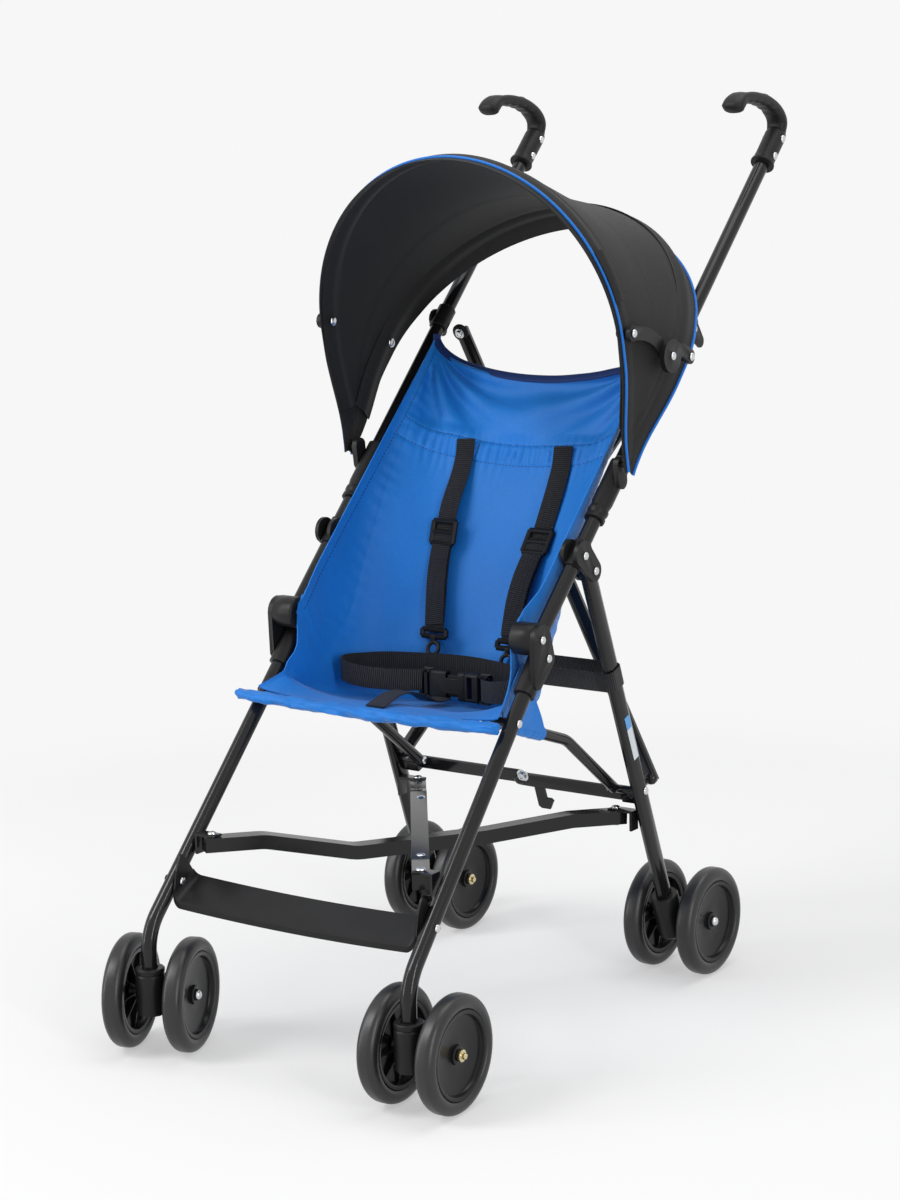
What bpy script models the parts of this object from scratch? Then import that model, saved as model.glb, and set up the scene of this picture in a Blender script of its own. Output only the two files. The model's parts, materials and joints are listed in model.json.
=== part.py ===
"""Folding stroller: sling seat, sun canopy, two hook handles and four twin-wheel units.

Metres, +Z up. The child looks towards -Y and the child's left is +X. The origin is on the
floor, under the middle of the frame. The side frames lie in planes of constant X, so most
sizes are given as (y, z) there, as distances along a tube and offsets square to it.
"""

import math

import bpy
from mathutils import Matrix, Vector

# Clearance between two pieces that touch
GAP = 0.0003
# Wheels
WHEEL_RADIUS = 0.0635
WHEEL_WIDTH = 0.0236
TYRE_DEPTH = 0.0155
RIM_LIP = 0.005
WEB_THICKNESS = 0.0035
BOSS_RADIUS = 0.0085
AXLE_RADIUS = 0.0040
AXLE_CLEARANCE = 0.0006
AXLE_CAP_RADIUS = 0.0068
TWIN_HALF_PITCH = 0.0355
TRAIL = 0.0284
# Wheel housings
HOUSING_RADIUS = 0.0165
HOUSING_TOP = 0.1016
HOUSING_BOTTOM = 0.0490
SOCKET_DEPTH = 0.030
SOCKET_CLEARANCE = 0.0008
LUG_WIDTH = 0.0210
LUG_RADIUS = 0.0110
SWIVEL_LEFT = math.radians(2.0)
SWIVEL_RIGHT = math.radians(17.7)
# Round tubes of the side frames
TUBE_RADIUS = 0.0085
STEM_X = 0.1738
STEM_Y = -0.3897
LEG_CORNER_Z = 0.1421
LEG_ANGLE = math.radians(46.95)
LEG_RUN = 0.3930
LEG_TOP_X = 0.1655
LEG_BEND_RADIUS = 0.060
# Main fold pivot, measured from the top of the front leg
PIVOT_ALONG = 0.0087
PIVOT_AHEAD = 0.0273
BARREL_RADIUS = 0.0180
BARREL_INNER_X = 0.1470
BARREL_OUTER_X = 0.1742
KNUCKLE_PLATE = 0.0058
KNUCKLE_WALL = 0.0036
# Handle tube, measured from the fold pivot
HANDLE_ANGLE = math.radians(44.15)
HANDLE_OFFSET = -0.0115
HANDLE_START = 0.0020
HANDLE_END = 0.7080
HANDLE_TOP_X = 0.1710
# Grip
GRIP_COLLAR_RADIUS = 0.0130
GRIP_COLLAR_LENGTH = 0.0520
GRIP_HEIGHT = 0.0240
GRIP_WIDTH = 0.0250
GRIP_RISE = 0.0590
GRIP_REACH = 0.0870
GRIP_OVERLAP = 0.0050
# Rear leg bracket on the handle tube and rear leg, a flat oval tube
REAR_BRACKET_ALONG = 0.1205
REAR_PIVOT_OFFSET = -0.0375
REAR_BRACKET_PLATE = 0.0045
REAR_SLEEVE_RADIUS = 0.0105
REAR_SLEEVE_LENGTH = 0.0340
REAR_LEG_DEPTH = 0.0230
REAR_LEG_THICKNESS = 0.0120
REAR_LEG_ANGLE = math.radians(-69.9)
REAR_LEG_TOP_X = 0.1680
REAR_JOINT_RUN = 0.2928
# Seat rails
RAIL_RADIUS = 0.0065
RAIL_X = 0.1374
RAIL_PIN_RADIUS = 0.0050
RAIL_FRONT_ALONG = 0.3120
RAIL_BEND_Y = -0.0240
RAIL_BEND_Z = 0.3155
RAIL_BEND_RADIUS = 0.060
# Rear cross tubes
CROSS_TUBE_WIDTH = 0.0180
CROSS_TUBE_THICKNESS = 0.0100
CROSS_TUBE_SPACING = 0.0065
TOP_BRACKET_ALONG = 0.4480
TOP_BRACKET_LENGTH = 0.0300
TOP_BRACKET_RADIUS = 0.0125
TOP_BRACKET_EAR = 0.0220
CROSS_TUBE_TOP_STANDOFF = 0.0255
CROSS_TUBE_LOW_STANDOFF = 0.0280
CROSS_TUBE_INSET = 0.0040
CROSS_TUBE_BALL = 0.0080
CROSS_TUBE_STUD = 0.0030
# Lower cross bars
CROSS_BAR_WIDTH = 0.0190
CROSS_BAR_HEIGHT = 0.0160
CROSS_BAR_FRONT_Y = -0.3146
CROSS_BAR_FRONT_Z = 0.2280
CROSS_BAR_REAR_Y = 0.0769
CROSS_BAR_REAR_Z = 0.2030
CROSS_BAR_END_X = 0.1400
CROSS_BAR_LOW_Z = 0.1995
CROSS_BAR_HIGH_Z = 0.2330
CROSS_LUG_DEPTH = 0.0150
CROSS_LUG_THICKNESS = 0.0030
# Room at a bar's front end for the leg to come in as it folds
CROSS_BAR_SWING = 0.0032
# Rear lock strut
STRUT_HEIGHT = 0.0170
STRUT_THICKNESS = 0.0040
STRUT_STANDOFF = 0.0110
STRUT_DROP = 0.0124
STRUT_PIVOT_X = 0.1500
STRUT_BLOCK_HEIGHT = 0.0130
STRUT_BLOCK_REACH = 0.0060
STRUT_BOLT_RADIUS = 0.0070
STRUT_TAB_DROP = 0.0300
# Foot rest
FOOT_REST_DEPTH = 0.0450
FOOT_REST_SLOPE = math.radians(28.0)
FOOT_REST_THICKNESS = 0.0025
FOOT_REST_ALONG = 0.0650
FOOT_REST_FRONT = 0.0147
FOOT_REST_FALL = 0.0206
FOOT_REST_EAR = 0.0140
# Rivets
RIVET_RADIUS = 0.0045
RIVET_HEIGHT = 0.0022
# Canopy clip, hoops, arms and cloth
CLIP_ALONG = 0.2360
CLIP_OFFSET = 0.0060
CLIP_ARM_THICKNESS = 0.0065
PIN_RADIUS = 0.0036
# Inner face of the first hoop on the clip's pin
PIN_LAYER_START = 0.1830
CLIP_BODY_START = 0.1700
CLIP_BODY_RADIUS = 0.0120
HOOP_HALF_WIDTH = 0.2015
HOOP_SHOULDER = 0.1400
HOOP_HEIGHT_FRONT = 0.2045
HOOP_HEIGHT_REAR = 0.2060
HOOP_INSET = 0.0052
HOOP_EYE_RADIUS = 0.0075
HOOP_FRONT_ANGLE = math.radians(98.5)
HOOP_REAR_ANGLE = math.radians(50.5)
HOOP_WIDTH = 0.0120
HOOP_THICKNESS = 0.0035
CANOPY_FRONT_ANGLE = math.radians(102.5)
CANOPY_REAR_ANGLE = math.radians(44.5)
CANOPY_THICKNESS = 0.0018
CANOPY_SAG = 0.0080
CANOPY_START = -0.0060
CANOPY_EDGE_MARGIN = 0.0110
ARM_REACH_FRONT = 0.1500
ARM_REACH_REAR = 0.1450
ARM_KNEE_ALONG = 0.3535
ARM_KNEE_OFFSET = 0.0549
ARM_THICKNESS = 0.0060
ARM_WIDTH = 0.0150
ARM_DISC_RADIUS = 0.0190
ARM_DISC_THICKNESS = 0.0065
ARM_SPACER_RADIUS = 0.0055
ARM_PIN_RADIUS = 0.0028
ARM_X = 0.2070
# Seat cloth
SEAT_HALF_WIDTH = 0.1530
SEAT_PIVOT_CLEARANCE = 0.0020
SEAT_PIVOT_HALF_WIDTH = BARREL_INNER_X - SEAT_PIVOT_CLEARANCE
SEAT_LEG_HALF_WIDTH = 0.1500
SEAT_FRONT_HALF_WIDTH = 0.1640
SEAT_TOP_ALONG = 0.4150
SEAT_EDGE_AHEAD = 0.0020
SEAT_THICKNESS = 0.0020
SEAT_ROLL_RADIUS = 0.0080
SEAT_ROLL_START = -0.1860
SEAT_ROLL_LENGTH = 0.3540
SEAT_ROLL_DEPTH = 0.0185
SEAT_ROLL_DIP = 0.0030
SEAT_FRONT_Y = -0.2050
SEAT_FRONT_Z = 0.3700
SEAT_FRONT_RISE = 0.0085
SEAT_TOP_Y = 0.1440
SEAT_TOP_Z = 0.6990
SEAT_CREASE_Z = 0.3430
# Where the sling's edge leaves the handle tube, passes the fold pivot and meets the front leg
SEAT_LEAVE_ALONG = 0.0600
SEAT_PASS_ALONG = 0.0260
SEAT_PASS_LOW = 0.0040
SEAT_PASS_AHEAD = 0.0060
SEAT_MEET_SHORT = 0.0240
SEAT_MEET_LOW = 0.0450
SEAT_MEET_AHEAD = 0.0080
# Webbing
WEBBING_WIDTH = 0.0250
WEBBING_THICKNESS = 0.0018
STRAP_TOP_X = 0.0690
STRAP_HOOK_X = 0.0520
CROTCH_STRAP_X = -0.0040
BUCKLE_LENGTH = 0.0460
BUCKLE_HEIGHT = 0.0330
BUCKLE_THICKNESS = 0.0110
BUCKLE_Y = -0.0520
BUCKLE_Z = 0.3690
BELT_HALF_WIDTH = 0.1240
BELT_FRONT_Y = -0.1000
BELT_BACK_Y = -0.0210
BELT_RISE = 0.0170
BACK_STRAP_Z = 0.3810
BACK_STRAP_THICKNESS = 0.0014
BACK_STRAP_WIDTH = 0.0250

# Sides of a round tube, and of a tyre or hub
CIRCLE_STEPS = 12
WHEEL_STEPS = 16
BARREL_STEPS = 20


def material(name, colour, roughness, metallic=0.0):
    made = bpy.data.materials.new(name)
    made.use_nodes = True
    shader = made.node_tree.nodes["Principled BSDF"]
    shader.inputs["Base Color"].default_value = (*colour, 1.0)
    shader.inputs["Roughness"].default_value = roughness
    shader.inputs["Metallic"].default_value = metallic
    return made


def clear_scene():
    for item in list(bpy.data.objects):
        bpy.data.objects.remove(item, do_unlink=True)


# Points of a side frame, as (y, z)


def turned_by(angle):
    """Unit vector at this angle from +Y towards +Z."""
    return Vector((math.cos(angle), math.sin(angle)))


def left_of(direction):
    """The direction a quarter turn ahead of the given one."""
    return Vector((-direction.y, direction.x))


LEG_DIRECTION = turned_by(LEG_ANGLE)
LEG_CORNER = Vector((STEM_Y, LEG_CORNER_Z))
LEG_TOP = LEG_CORNER + LEG_DIRECTION * LEG_RUN
PIVOT = LEG_TOP + LEG_DIRECTION * PIVOT_ALONG + left_of(LEG_DIRECTION) * PIVOT_AHEAD
HANDLE_DIRECTION = turned_by(HANDLE_ANGLE)
HANDLE_AHEAD = left_of(HANDLE_DIRECTION)


def on_leg(along, ahead=0.0):
    return LEG_CORNER + LEG_DIRECTION * along + left_of(LEG_DIRECTION) * ahead


def on_handle(along, ahead=HANDLE_OFFSET):
    return PIVOT + HANDLE_DIRECTION * along + HANDLE_AHEAD * ahead


REAR_PIVOT = on_handle(REAR_BRACKET_ALONG, REAR_PIVOT_OFFSET)
REAR_LEG_DIRECTION = turned_by(REAR_LEG_ANGLE)
REAR_LEG_BEHIND = left_of(REAR_LEG_DIRECTION)
REAR_JOINT = REAR_PIVOT + REAR_LEG_DIRECTION * REAR_JOINT_RUN
RAIL_FRONT = on_leg(RAIL_FRONT_ALONG)
CLIP = on_handle(CLIP_ALONG, CLIP_OFFSET)
TOP_BRACKET = on_handle(TOP_BRACKET_ALONG)


def leg_x(along):
    return STEM_X + (LEG_TOP_X - STEM_X) * along / LEG_RUN


def handle_x(along):
    return LEG_TOP_X + (HANDLE_TOP_X - LEG_TOP_X) * along / HANDLE_END


def rear_leg_x(along):
    run = (REAR_PIVOT.y - HOUSING_TOP) / -REAR_LEG_DIRECTION.y
    return REAR_LEG_TOP_X + (STEM_X - REAR_LEG_TOP_X) * along / run


def point(x, flat):
    return Vector((x, flat[0], flat[1]))


# Sections, as (across, up) points, and shapes, as (points, faces) in the part's frame


def circle(radius, steps=CIRCLE_STEPS):
    turns = [2 * math.pi * i / steps for i in range(steps)]
    return [(radius * math.cos(a), radius * math.sin(a)) for a in turns]


def flat_oval(width, height, steps=4):
    """A slot shape: half circles joined by straight sides, the long way across."""
    radius = height / 2
    reach = width / 2 - radius
    points = []
    for side in (1, -1):
        for i in range(steps + 1):
            a = math.pi * (i / steps - 0.5)
            points.append((side * (reach + radius * math.cos(a)), side * radius * math.sin(a)))
    return points


def box_section(width, height, chamfer=0.0):
    w, h, c = width / 2, height / 2, chamfer
    if not c:
        return [(w, -h), (w, h), (-w, h), (-w, -h)]
    right = [(w - c, -h), (w, c - h), (w, h - c), (w - c, h)]
    return right + [(-a, b) for a, b in reversed(right)]


def rounded(corners, radius, steps=5):
    """The path through these corners with each inner corner turned into an arc."""
    path = [corners[0]]
    for before, corner, after in zip(corners, corners[1:], corners[2:]):
        back, ahead = (before - corner).normalized(), (after - corner).normalized()
        turn = math.pi - back.angle(ahead)
        if turn < 0.02:
            path.append(corner)
            continue
        tangent = radius * math.tan(turn / 2)
        centre = corner + (back + ahead).normalized() * (radius / math.cos(turn / 2))
        start = corner + back * tangent - centre
        axis = start.cross(corner + ahead * tangent - centre).normalized()
        path += [centre + Matrix.Rotation(turn * i / steps, 3, axis) @ start for i in range(steps + 1)]
    return path + [corners[-1]]


def sweep(path, section, across, closed=False, scales=None):
    """Carries a section along a path. Its first axis keeps to `across`, one vector or one for each point."""
    count, size = len(path), len(section)
    points = []
    for i, here in enumerate(path):
        before = path[i - 1] if i or closed else here
        after = path[(i + 1) % count] if i + 1 < count or closed else here
        forward = (after - before).normalized()
        aim = across[i] if isinstance(across, list) else across
        side = (aim - forward * aim.dot(forward)).normalized()
        up = forward.cross(side)
        scale = scales[i] if scales else 1.0
        points += [here + (side * a + up * b) * scale for a, b in section]
    faces = []
    for i in range(count if closed else count - 1):
        j = (i + 1) % count
        for k in range(size):
            m = (k + 1) % size
            faces.append((i * size + k, i * size + m, j * size + m, j * size + k))
    if not closed:
        faces.append(tuple(reversed(range(size))))
        faces.append(tuple(range((count - 1) * size, count * size)))
    return points, faces


def turned(centre, axis, profile, steps=CIRCLE_STEPS, start=0.0):
    """Turns a closed profile of (radius, height) points about an axis. Radius 0 closes on the axis."""
    axis = axis.normalized()
    side = axis.orthogonal().normalized()
    if abs(axis.z) < 0.9:
        side = (Vector((0, 0, -1)) + axis * axis.z).normalized()
    ahead = axis.cross(side)
    points, rings = [], []
    for radius, height in profile:
        if radius == 0:
            rings.append([len(points)] * steps)
            points.append(centre + axis * height)
            continue
        rings.append(list(range(len(points), len(points) + steps)))
        for i in range(steps):
            a = start + 2 * math.pi * i / steps
            points.append(centre + axis * height + (side * math.cos(a) + ahead * math.sin(a)) * radius)
    faces = []
    loop = profile[0][0] > 0
    for first, second in zip(rings, rings[1:] + ([rings[0]] if loop else [])):
        for i in range(steps):
            j = (i + 1) % steps
            corners = [first[i], first[j], second[j], second[i]]
            faces.append(tuple(dict.fromkeys(corners)))
    return points, [face for face in faces if len(face) > 2]


def cylinder(first, second, radius, steps=CIRCLE_STEPS):
    axis = second - first
    return turned(first, axis, [(0, 0), (radius, 0), (radius, axis.length), (0, axis.length)], steps)


def rivet(seat, axis, radius=RIVET_RADIUS, height=RIVET_HEIGHT):
    """A domed head that stands on its seat and reaches half a millimetre into it."""
    root = 0.0005
    profile = [(0, -root), (radius, -root), (radius * 0.92, height * 0.55), (0, height)]
    return turned(seat, axis, profile, 8)


def arc_profile(radius, steps=6):
    """Outline of a ball, from its lowest point to its highest."""
    turns = [math.pi * i / steps for i in range(1, steps)]
    return [(0, -radius)] + [(radius * math.sin(a), -radius * math.cos(a)) for a in turns] + [(0, radius)]


def hull_outline(circles, steps=20):
    """Outline round a chain of circles, each ((y, z), radius), seen by its farthest point each way."""
    outline = []
    for i in range(steps):
        a = 2 * math.pi * i / steps
        way = turned_by(a)
        centre, radius = max(circles, key=lambda c: Vector(c[0]).dot(way) + c[1])
        outline.append(Vector(centre) + way * radius)
    return outline


def plate(outline, x_low, x_high):
    """A flat plate: an outline of (y, z) points between two X positions."""
    size = len(outline)
    points = [point(x_low, p) for p in outline] + [point(x_high, p) for p in outline]
    faces = [tuple(range(size)), tuple(reversed(range(size, 2 * size)))]
    for i in range(size):
        j = (i + 1) % size
        faces.append((i, i + size, j + size, j))
    return points, faces


def sheet(rows, thickness, face_side):
    """A closed shell round a grid of points, half its thickness to each side of the grid."""
    count, size = len(rows), len(rows[0])
    normals = []
    for i in range(count):
        for j in range(size):
            along = rows[min(i + 1, count - 1)][j] - rows[max(i - 1, 0)][j]
            across = rows[i][min(j + 1, size - 1)] - rows[i][max(j - 1, 0)]
            normals.append(along.cross(across).normalized() * face_side)
    grid = [p for row in rows for p in row]
    points = [p + n * thickness / 2 for p, n in zip(grid, normals)]
    points += [p - n * thickness / 2 for p, n in zip(grid, normals)]
    shift = count * size
    faces = []
    for i in range(count - 1):
        for j in range(size - 1):
            a, b = i * size + j, i * size + j + 1
            c, d = b + size, a + size
            faces += [(a, b, c, d), (d + shift, c + shift, b + shift, a + shift)]
    rim = [(0, j) for j in range(size)] + [(i, size - 1) for i in range(1, count)]
    rim += [(count - 1, j) for j in range(size - 2, -1, -1)] + [(i, 0) for i in range(count - 2, 0, -1)]
    edge = [i * size + j for i, j in rim]
    for a, b in zip(edge, edge[1:] + edge[:1]):
        faces.append((a, a + shift, b + shift, b))
    return points, faces


# Objects


def mesh_object(name, shape, origin):
    points, faces = shape
    mesh = bpy.data.meshes.new(name)
    mesh.from_pydata([p - origin for p in points], [], faces)
    mesh.validate()
    made = bpy.data.objects.new(name, mesh)
    made.location = origin
    bpy.context.scene.collection.objects.link(made)
    bpy.context.view_layer.objects.active = made
    made.select_set(True)
    bpy.ops.object.mode_set(mode="EDIT")
    bpy.ops.mesh.select_all(action="SELECT")
    bpy.ops.mesh.normals_make_consistent(inside=False)
    bpy.ops.object.mode_set(mode="OBJECT")
    made.select_set(False)
    return made


def build(name, finish, origin, shapes, cuts=()):
    """One node: the union of its shapes less its cuts, with its origin on its joint or seat."""
    made = mesh_object(name, shapes[0], origin)
    tools = [(s, "UNION") for s in shapes[1:]] + [(s, "DIFFERENCE") for s in cuts]
    for i, (shape, operation) in enumerate(tools):
        helper = mesh_object(f"{name}.tool{i}", shape, origin)
        modifier = made.modifiers.new("shape", "BOOLEAN")
        modifier.operation = operation
        modifier.object = helper
        bpy.context.view_layer.update()
        graph = bpy.context.evaluated_depsgraph_get()
        result = bpy.data.meshes.new_from_object(made.evaluated_get(graph))
        made.modifiers.clear()
        made.data = result
        bpy.data.objects.remove(helper, do_unlink=True)
    made.data.name = name
    made.data.materials.clear()
    made.data.materials.append(finish)
    made.data.shade_smooth()
    made.data.set_sharp_from_angle(angle=math.radians(35))
    return made


# Wheel units


def wheel_profiles():
    """Closed (radius, height) outlines of the tyre and of the dished hub, height along the axle."""
    half = WHEEL_WIDTH / 2
    inner = WHEEL_RADIUS - TYRE_DEPTH
    # Radius and share of the half width, from the bead out to the tread
    side = [(inner, 0.72), (inner + TYRE_DEPTH * 0.40, 1.0)]
    side += [(WHEEL_RADIUS - 0.0035, 0.80), (WHEEL_RADIUS, 0.40)]
    tyre = [(r, half * h) for r, h in side] + [(r, -half * h) for r, h in reversed(side)]
    rim = inner - GAP
    dish = rim - RIM_LIP
    bore = AXLE_RADIUS + AXLE_CLEARANCE
    web = WEB_THICKNESS / 2
    face = half * 0.82
    hub = [
        (bore, -face),
        (BOSS_RADIUS, -face),
        (BOSS_RADIUS + 0.004, -web),
        (dish, -face),
        (rim, -face),
        (rim, face),
        (dish, web + 0.001),
        (bore, web + 0.002),
    ]
    # The flats of the turned faces lie at these radii, not their corners
    widen = 1 / math.cos(math.pi / WHEEL_STEPS)
    return [[(r * widen, h) for r, h in outline] for outline in (tyre, hub)]


def wheel_unit(place, side, centre, swivel, base_shapes, base_cuts, finishes, origin):
    """A housing with its lug and axle, and a wheel at each end of the axle."""
    turn = Matrix.Rotation(swivel, 3, "Z")
    forward = turn @ Vector((0, 1, 0))
    axle = turn @ Vector((1, 0, 0))
    hub_centre = centre + forward * TRAIL + Vector((0, 0, WHEEL_RADIUS))
    tyre_profile, hub_profile = wheel_profiles()
    half_step = math.pi / WHEEL_STEPS
    web_face = WEB_THICKNESS / 2 + 0.0024
    reach = TWIN_HALF_PITCH + web_face
    lug = hull_outline(
        [((0.0, WHEEL_RADIUS + 0.010), LUG_RADIUS), ((0.0, HOUSING_BOTTOM + LUG_RADIUS), LUG_RADIUS * 0.9),
         ((TRAIL, WHEEL_RADIUS), LUG_RADIUS), ((TRAIL * 0.7, WHEEL_RADIUS + 0.017), LUG_RADIUS * 0.8)], 16)
    lug_points, lug_faces = plate(lug, -LUG_WIDTH / 2, LUG_WIDTH / 2)
    ground = Vector((centre.x, centre.y, 0))
    lug_shape = ([ground + turn @ p for p in lug_points], lug_faces)
    cap = [(0, 0), (AXLE_CAP_RADIUS, 0), (AXLE_CAP_RADIUS, 0.0016)]
    cap += [(AXLE_CAP_RADIUS * 0.6, 0.0040), (0, 0.0048)]
    rod = cylinder(hub_centre - axle * reach, hub_centre + axle * reach, AXLE_RADIUS)
    shapes = base_shapes + [lug_shape, rod]
    for way in (1, -1):
        shapes.append(turned(hub_centre + axle * way * (reach - 0.0001), axle * way, cap, 10))
    build(f"{place}_housing_{side}", finishes["plastic"], origin, shapes, base_cuts)
    for way, end in ((1, "outer"), (-1, "inner")):
        if side == "right":
            end = {"outer": "inner", "inner": "outer"}[end]
        seat = hub_centre + axle * way * TWIN_HALF_PITCH
        tyre = turned(seat, axle * way, tyre_profile, WHEEL_STEPS, half_step)
        hub = turned(seat, axle * way, hub_profile, WHEEL_STEPS, half_step)
        build(f"{place}_tyre_{side}_{end}", finishes["rubber"], seat, [tyre])
        build(f"{place}_hub_{side}_{end}", finishes["plastic"], seat, [hub])


def front_caster(side, sign, finishes):
    swivel = SWIVEL_LEFT if side == "left" else SWIVEL_RIGHT
    centre = Vector((sign * STEM_X, STEM_Y, 0))
    bore = TUBE_RADIUS + SOCKET_CLEARANCE
    floor = HOUSING_TOP - SOCKET_DEPTH
    body = [
        (0, HOUSING_BOTTOM),
        (HOUSING_RADIUS - 0.001, HOUSING_BOTTOM),
        (HOUSING_RADIUS, HOUSING_BOTTOM + 0.004),
        (HOUSING_RADIUS, HOUSING_TOP - 0.0085),
        (HOUSING_RADIUS - 0.0012, HOUSING_TOP - 0.0070),
        (HOUSING_RADIUS, HOUSING_TOP - 0.0055),
        (HOUSING_RADIUS, HOUSING_TOP - 0.001),
        (HOUSING_RADIUS - 0.001, HOUSING_TOP),
        (0, HOUSING_TOP),
    ]
    cuts = [cylinder(centre + Vector((0, 0, floor)), centre + Vector((0, 0, HOUSING_TOP + 0.01)), bore)]
    shapes = [turned(centre, Vector((0, 0, 1)), body, 12)]
    wheel_unit("front", side, centre, swivel, shapes, cuts, finishes, centre)


def rear_unit(side, sign, finishes):
    """The housing slopes with the rear leg, which ends inside its socket."""
    run = (REAR_PIVOT.y - HOUSING_TOP) / -REAR_LEG_DIRECTION.y
    mouth = point(sign * STEM_X, REAR_PIVOT + REAR_LEG_DIRECTION * run)
    down = point(0, REAR_LEG_DIRECTION)
    length = (HOUSING_TOP - HOUSING_BOTTOM) / -REAR_LEG_DIRECTION.y
    body = [(0, 0), (HOUSING_RADIUS - 0.001, 0), (HOUSING_RADIUS, 0.002), (HOUSING_RADIUS, length - 0.003),
            (HOUSING_RADIUS - 0.003, length), (0, length)]
    axle_y = mouth.y + (mouth.z - WHEEL_RADIUS) / math.tan(-REAR_LEG_ANGLE)
    centre = Vector((sign * STEM_X, axle_y, 0))
    slot = flat_oval(REAR_LEG_DEPTH + 2 * GAP, REAR_LEG_THICKNESS + 2 * GAP)
    behind = point(0, REAR_LEG_BEHIND)
    cut = sweep([mouth - down * 0.02, mouth + down * (SOCKET_DEPTH + GAP)], slot, behind)
    shapes = [turned(mouth, down, body, 12)]
    wheel_unit("rear", side, centre, 0.0, shapes, [cut], finishes, point(sign * STEM_X, REAR_PIVOT))


# Side frames


def front_leg(side, sign, finishes):
    floor = HOUSING_TOP - SOCKET_DEPTH + GAP
    corners = [Vector((sign * STEM_X, STEM_Y, floor)), point(sign * STEM_X, LEG_CORNER),
               point(sign * leg_x(LEG_RUN), on_leg(LEG_RUN - 0.002))]
    shapes = [sweep(rounded(corners, LEG_BEND_RADIUS, 5), circle(TUBE_RADIUS), Vector((1, 0, 0)))]
    for along in (RAIL_FRONT_ALONG, FOOT_REST_ALONG):
        seat = point(sign * (leg_x(along) + TUBE_RADIUS - 0.0006), on_leg(along))
        shapes.append(rivet(seat, Vector((sign, 0, 0))))
    spacer_start = point(sign * leg_x(RAIL_FRONT_ALONG), RAIL_FRONT)
    spacer_end = point(sign * (RAIL_X + RAIL_RADIUS + GAP), RAIL_FRONT)
    shapes.append(cylinder(spacer_start, spacer_end, RAIL_PIN_RADIUS, 8))
    build(f"front_leg_{side}", finishes["steel"], point(sign * LEG_TOP_X, PIVOT), shapes)


def knuckle(side, sign, finishes):
    """Plate and leg socket that carry the fold pivot, cut clear of the handle's barrel."""
    lower = on_handle(-0.0071, -0.0242)
    foot = on_leg(LEG_RUN - 0.030, 0.002)
    outline = hull_outline([(on_handle(0, 0), 0.0172), (lower, 0.0125), (foot, 0.0080)])
    low, high = BARREL_OUTER_X + GAP, BARREL_OUTER_X + GAP + KNUCKLE_PLATE
    bottom, top = LEG_RUN - 0.046, LEG_RUN - 0.001
    start, end = point(sign * leg_x(bottom), on_leg(bottom)), point(sign * leg_x(top), on_leg(top))
    faces = (sign * low, sign * high)
    shapes = [plate(outline, min(faces), max(faces)), cylinder(start, end, TUBE_RADIUS + KNUCKLE_WALL)]
    outward = Vector((sign, 0, 0))
    shapes += [rivet(point(sign * high, on_handle(0, 0)), outward), rivet(point(sign * high, lower), outward)]
    inner, outer = sign * (BARREL_INNER_X - 0.01), sign * low
    reach = (end - start) * 0.2
    cuts = [cylinder(start - reach, end + reach, TUBE_RADIUS + GAP),
            cylinder(point(inner, PIVOT), point(outer, PIVOT), BARREL_RADIUS + GAP, BARREL_STEPS)]
    build(f"knuckle_{side}", finishes["plastic"], point(sign * LEG_TOP_X, PIVOT), shapes, cuts)


def handle_tube(side, sign, finishes):
    start = point(sign * handle_x(0), on_handle(HANDLE_START))
    end = point(sign * handle_x(HANDLE_END), on_handle(HANDLE_END))
    inner, outer = point(sign * BARREL_INNER_X, PIVOT), point(sign * BARREL_OUTER_X, PIVOT)
    barrel = cylinder(inner, outer, BARREL_RADIUS, BARREL_STEPS)
    tube = sweep([start, end], circle(TUBE_RADIUS), Vector((1, 0, 0)))
    build(f"handle_tube_{side}", finishes["steel"], point(sign * LEG_TOP_X, PIVOT), [tube, barrel])


# Middle line of the hook, as shares of its rise past the tube's end and of its forward reach
GRIP_CURVE = (
    (0.8136, -0.1092), (0.9576, -0.0345), (1.0, 0.0920), (0.9492, 0.2644), (0.8305, 0.4483), (0.6780, 0.6092),
    (0.4915, 0.7701), (0.3051, 0.8966), (0.1356, 0.9713), (-0.0339, 1.0), (-0.2034, 0.9943),
)


def grip(side, sign, finishes):
    """Hook handle: a collar over the tube's end and a grip that curls forward."""
    along = HANDLE_END - GRIP_OVERLAP
    bend = [(HANDLE_END + GRIP_RISE * rise, GRIP_REACH * reach) for rise, reach in GRIP_CURVE]
    sizes = [1.0, 1.0, 1.02, 1.04, 1.04, 1.02, 1.0, 1.0, 1.05, 1.15, 1.15]
    x = sign * HANDLE_TOP_X
    base = along + GRIP_COLLAR_LENGTH
    path = [point(x, on_handle(base - 0.006))] + [point(x, on_handle(s, o)) for s, o in bend]
    section = flat_oval(GRIP_WIDTH, GRIP_HEIGHT * 0.62, 3)
    hook = sweep(path, section, Vector((1, 0, 0)), scales=[0.85] + sizes)
    first, last = point(x, on_handle(along)), point(x, on_handle(base))
    collar = cylinder(first, last, GRIP_COLLAR_RADIUS)
    shapes = [collar, hook]
    outward = Vector((sign, 0, 0))
    face = sign * (HANDLE_TOP_X + GRIP_COLLAR_RADIUS - 0.0004)
    for share in (0.27, 0.80):
        shapes.append(rivet(point(face, on_handle(along + GRIP_COLLAR_LENGTH * share)), outward))
    way = (last - first).normalized()
    bore = cylinder(first - way * 0.01, point(x, on_handle(HANDLE_END + GAP)), TUBE_RADIUS + GAP)
    build(f"grip_{side}", finishes["grip"], first, shapes, [bore])


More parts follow.
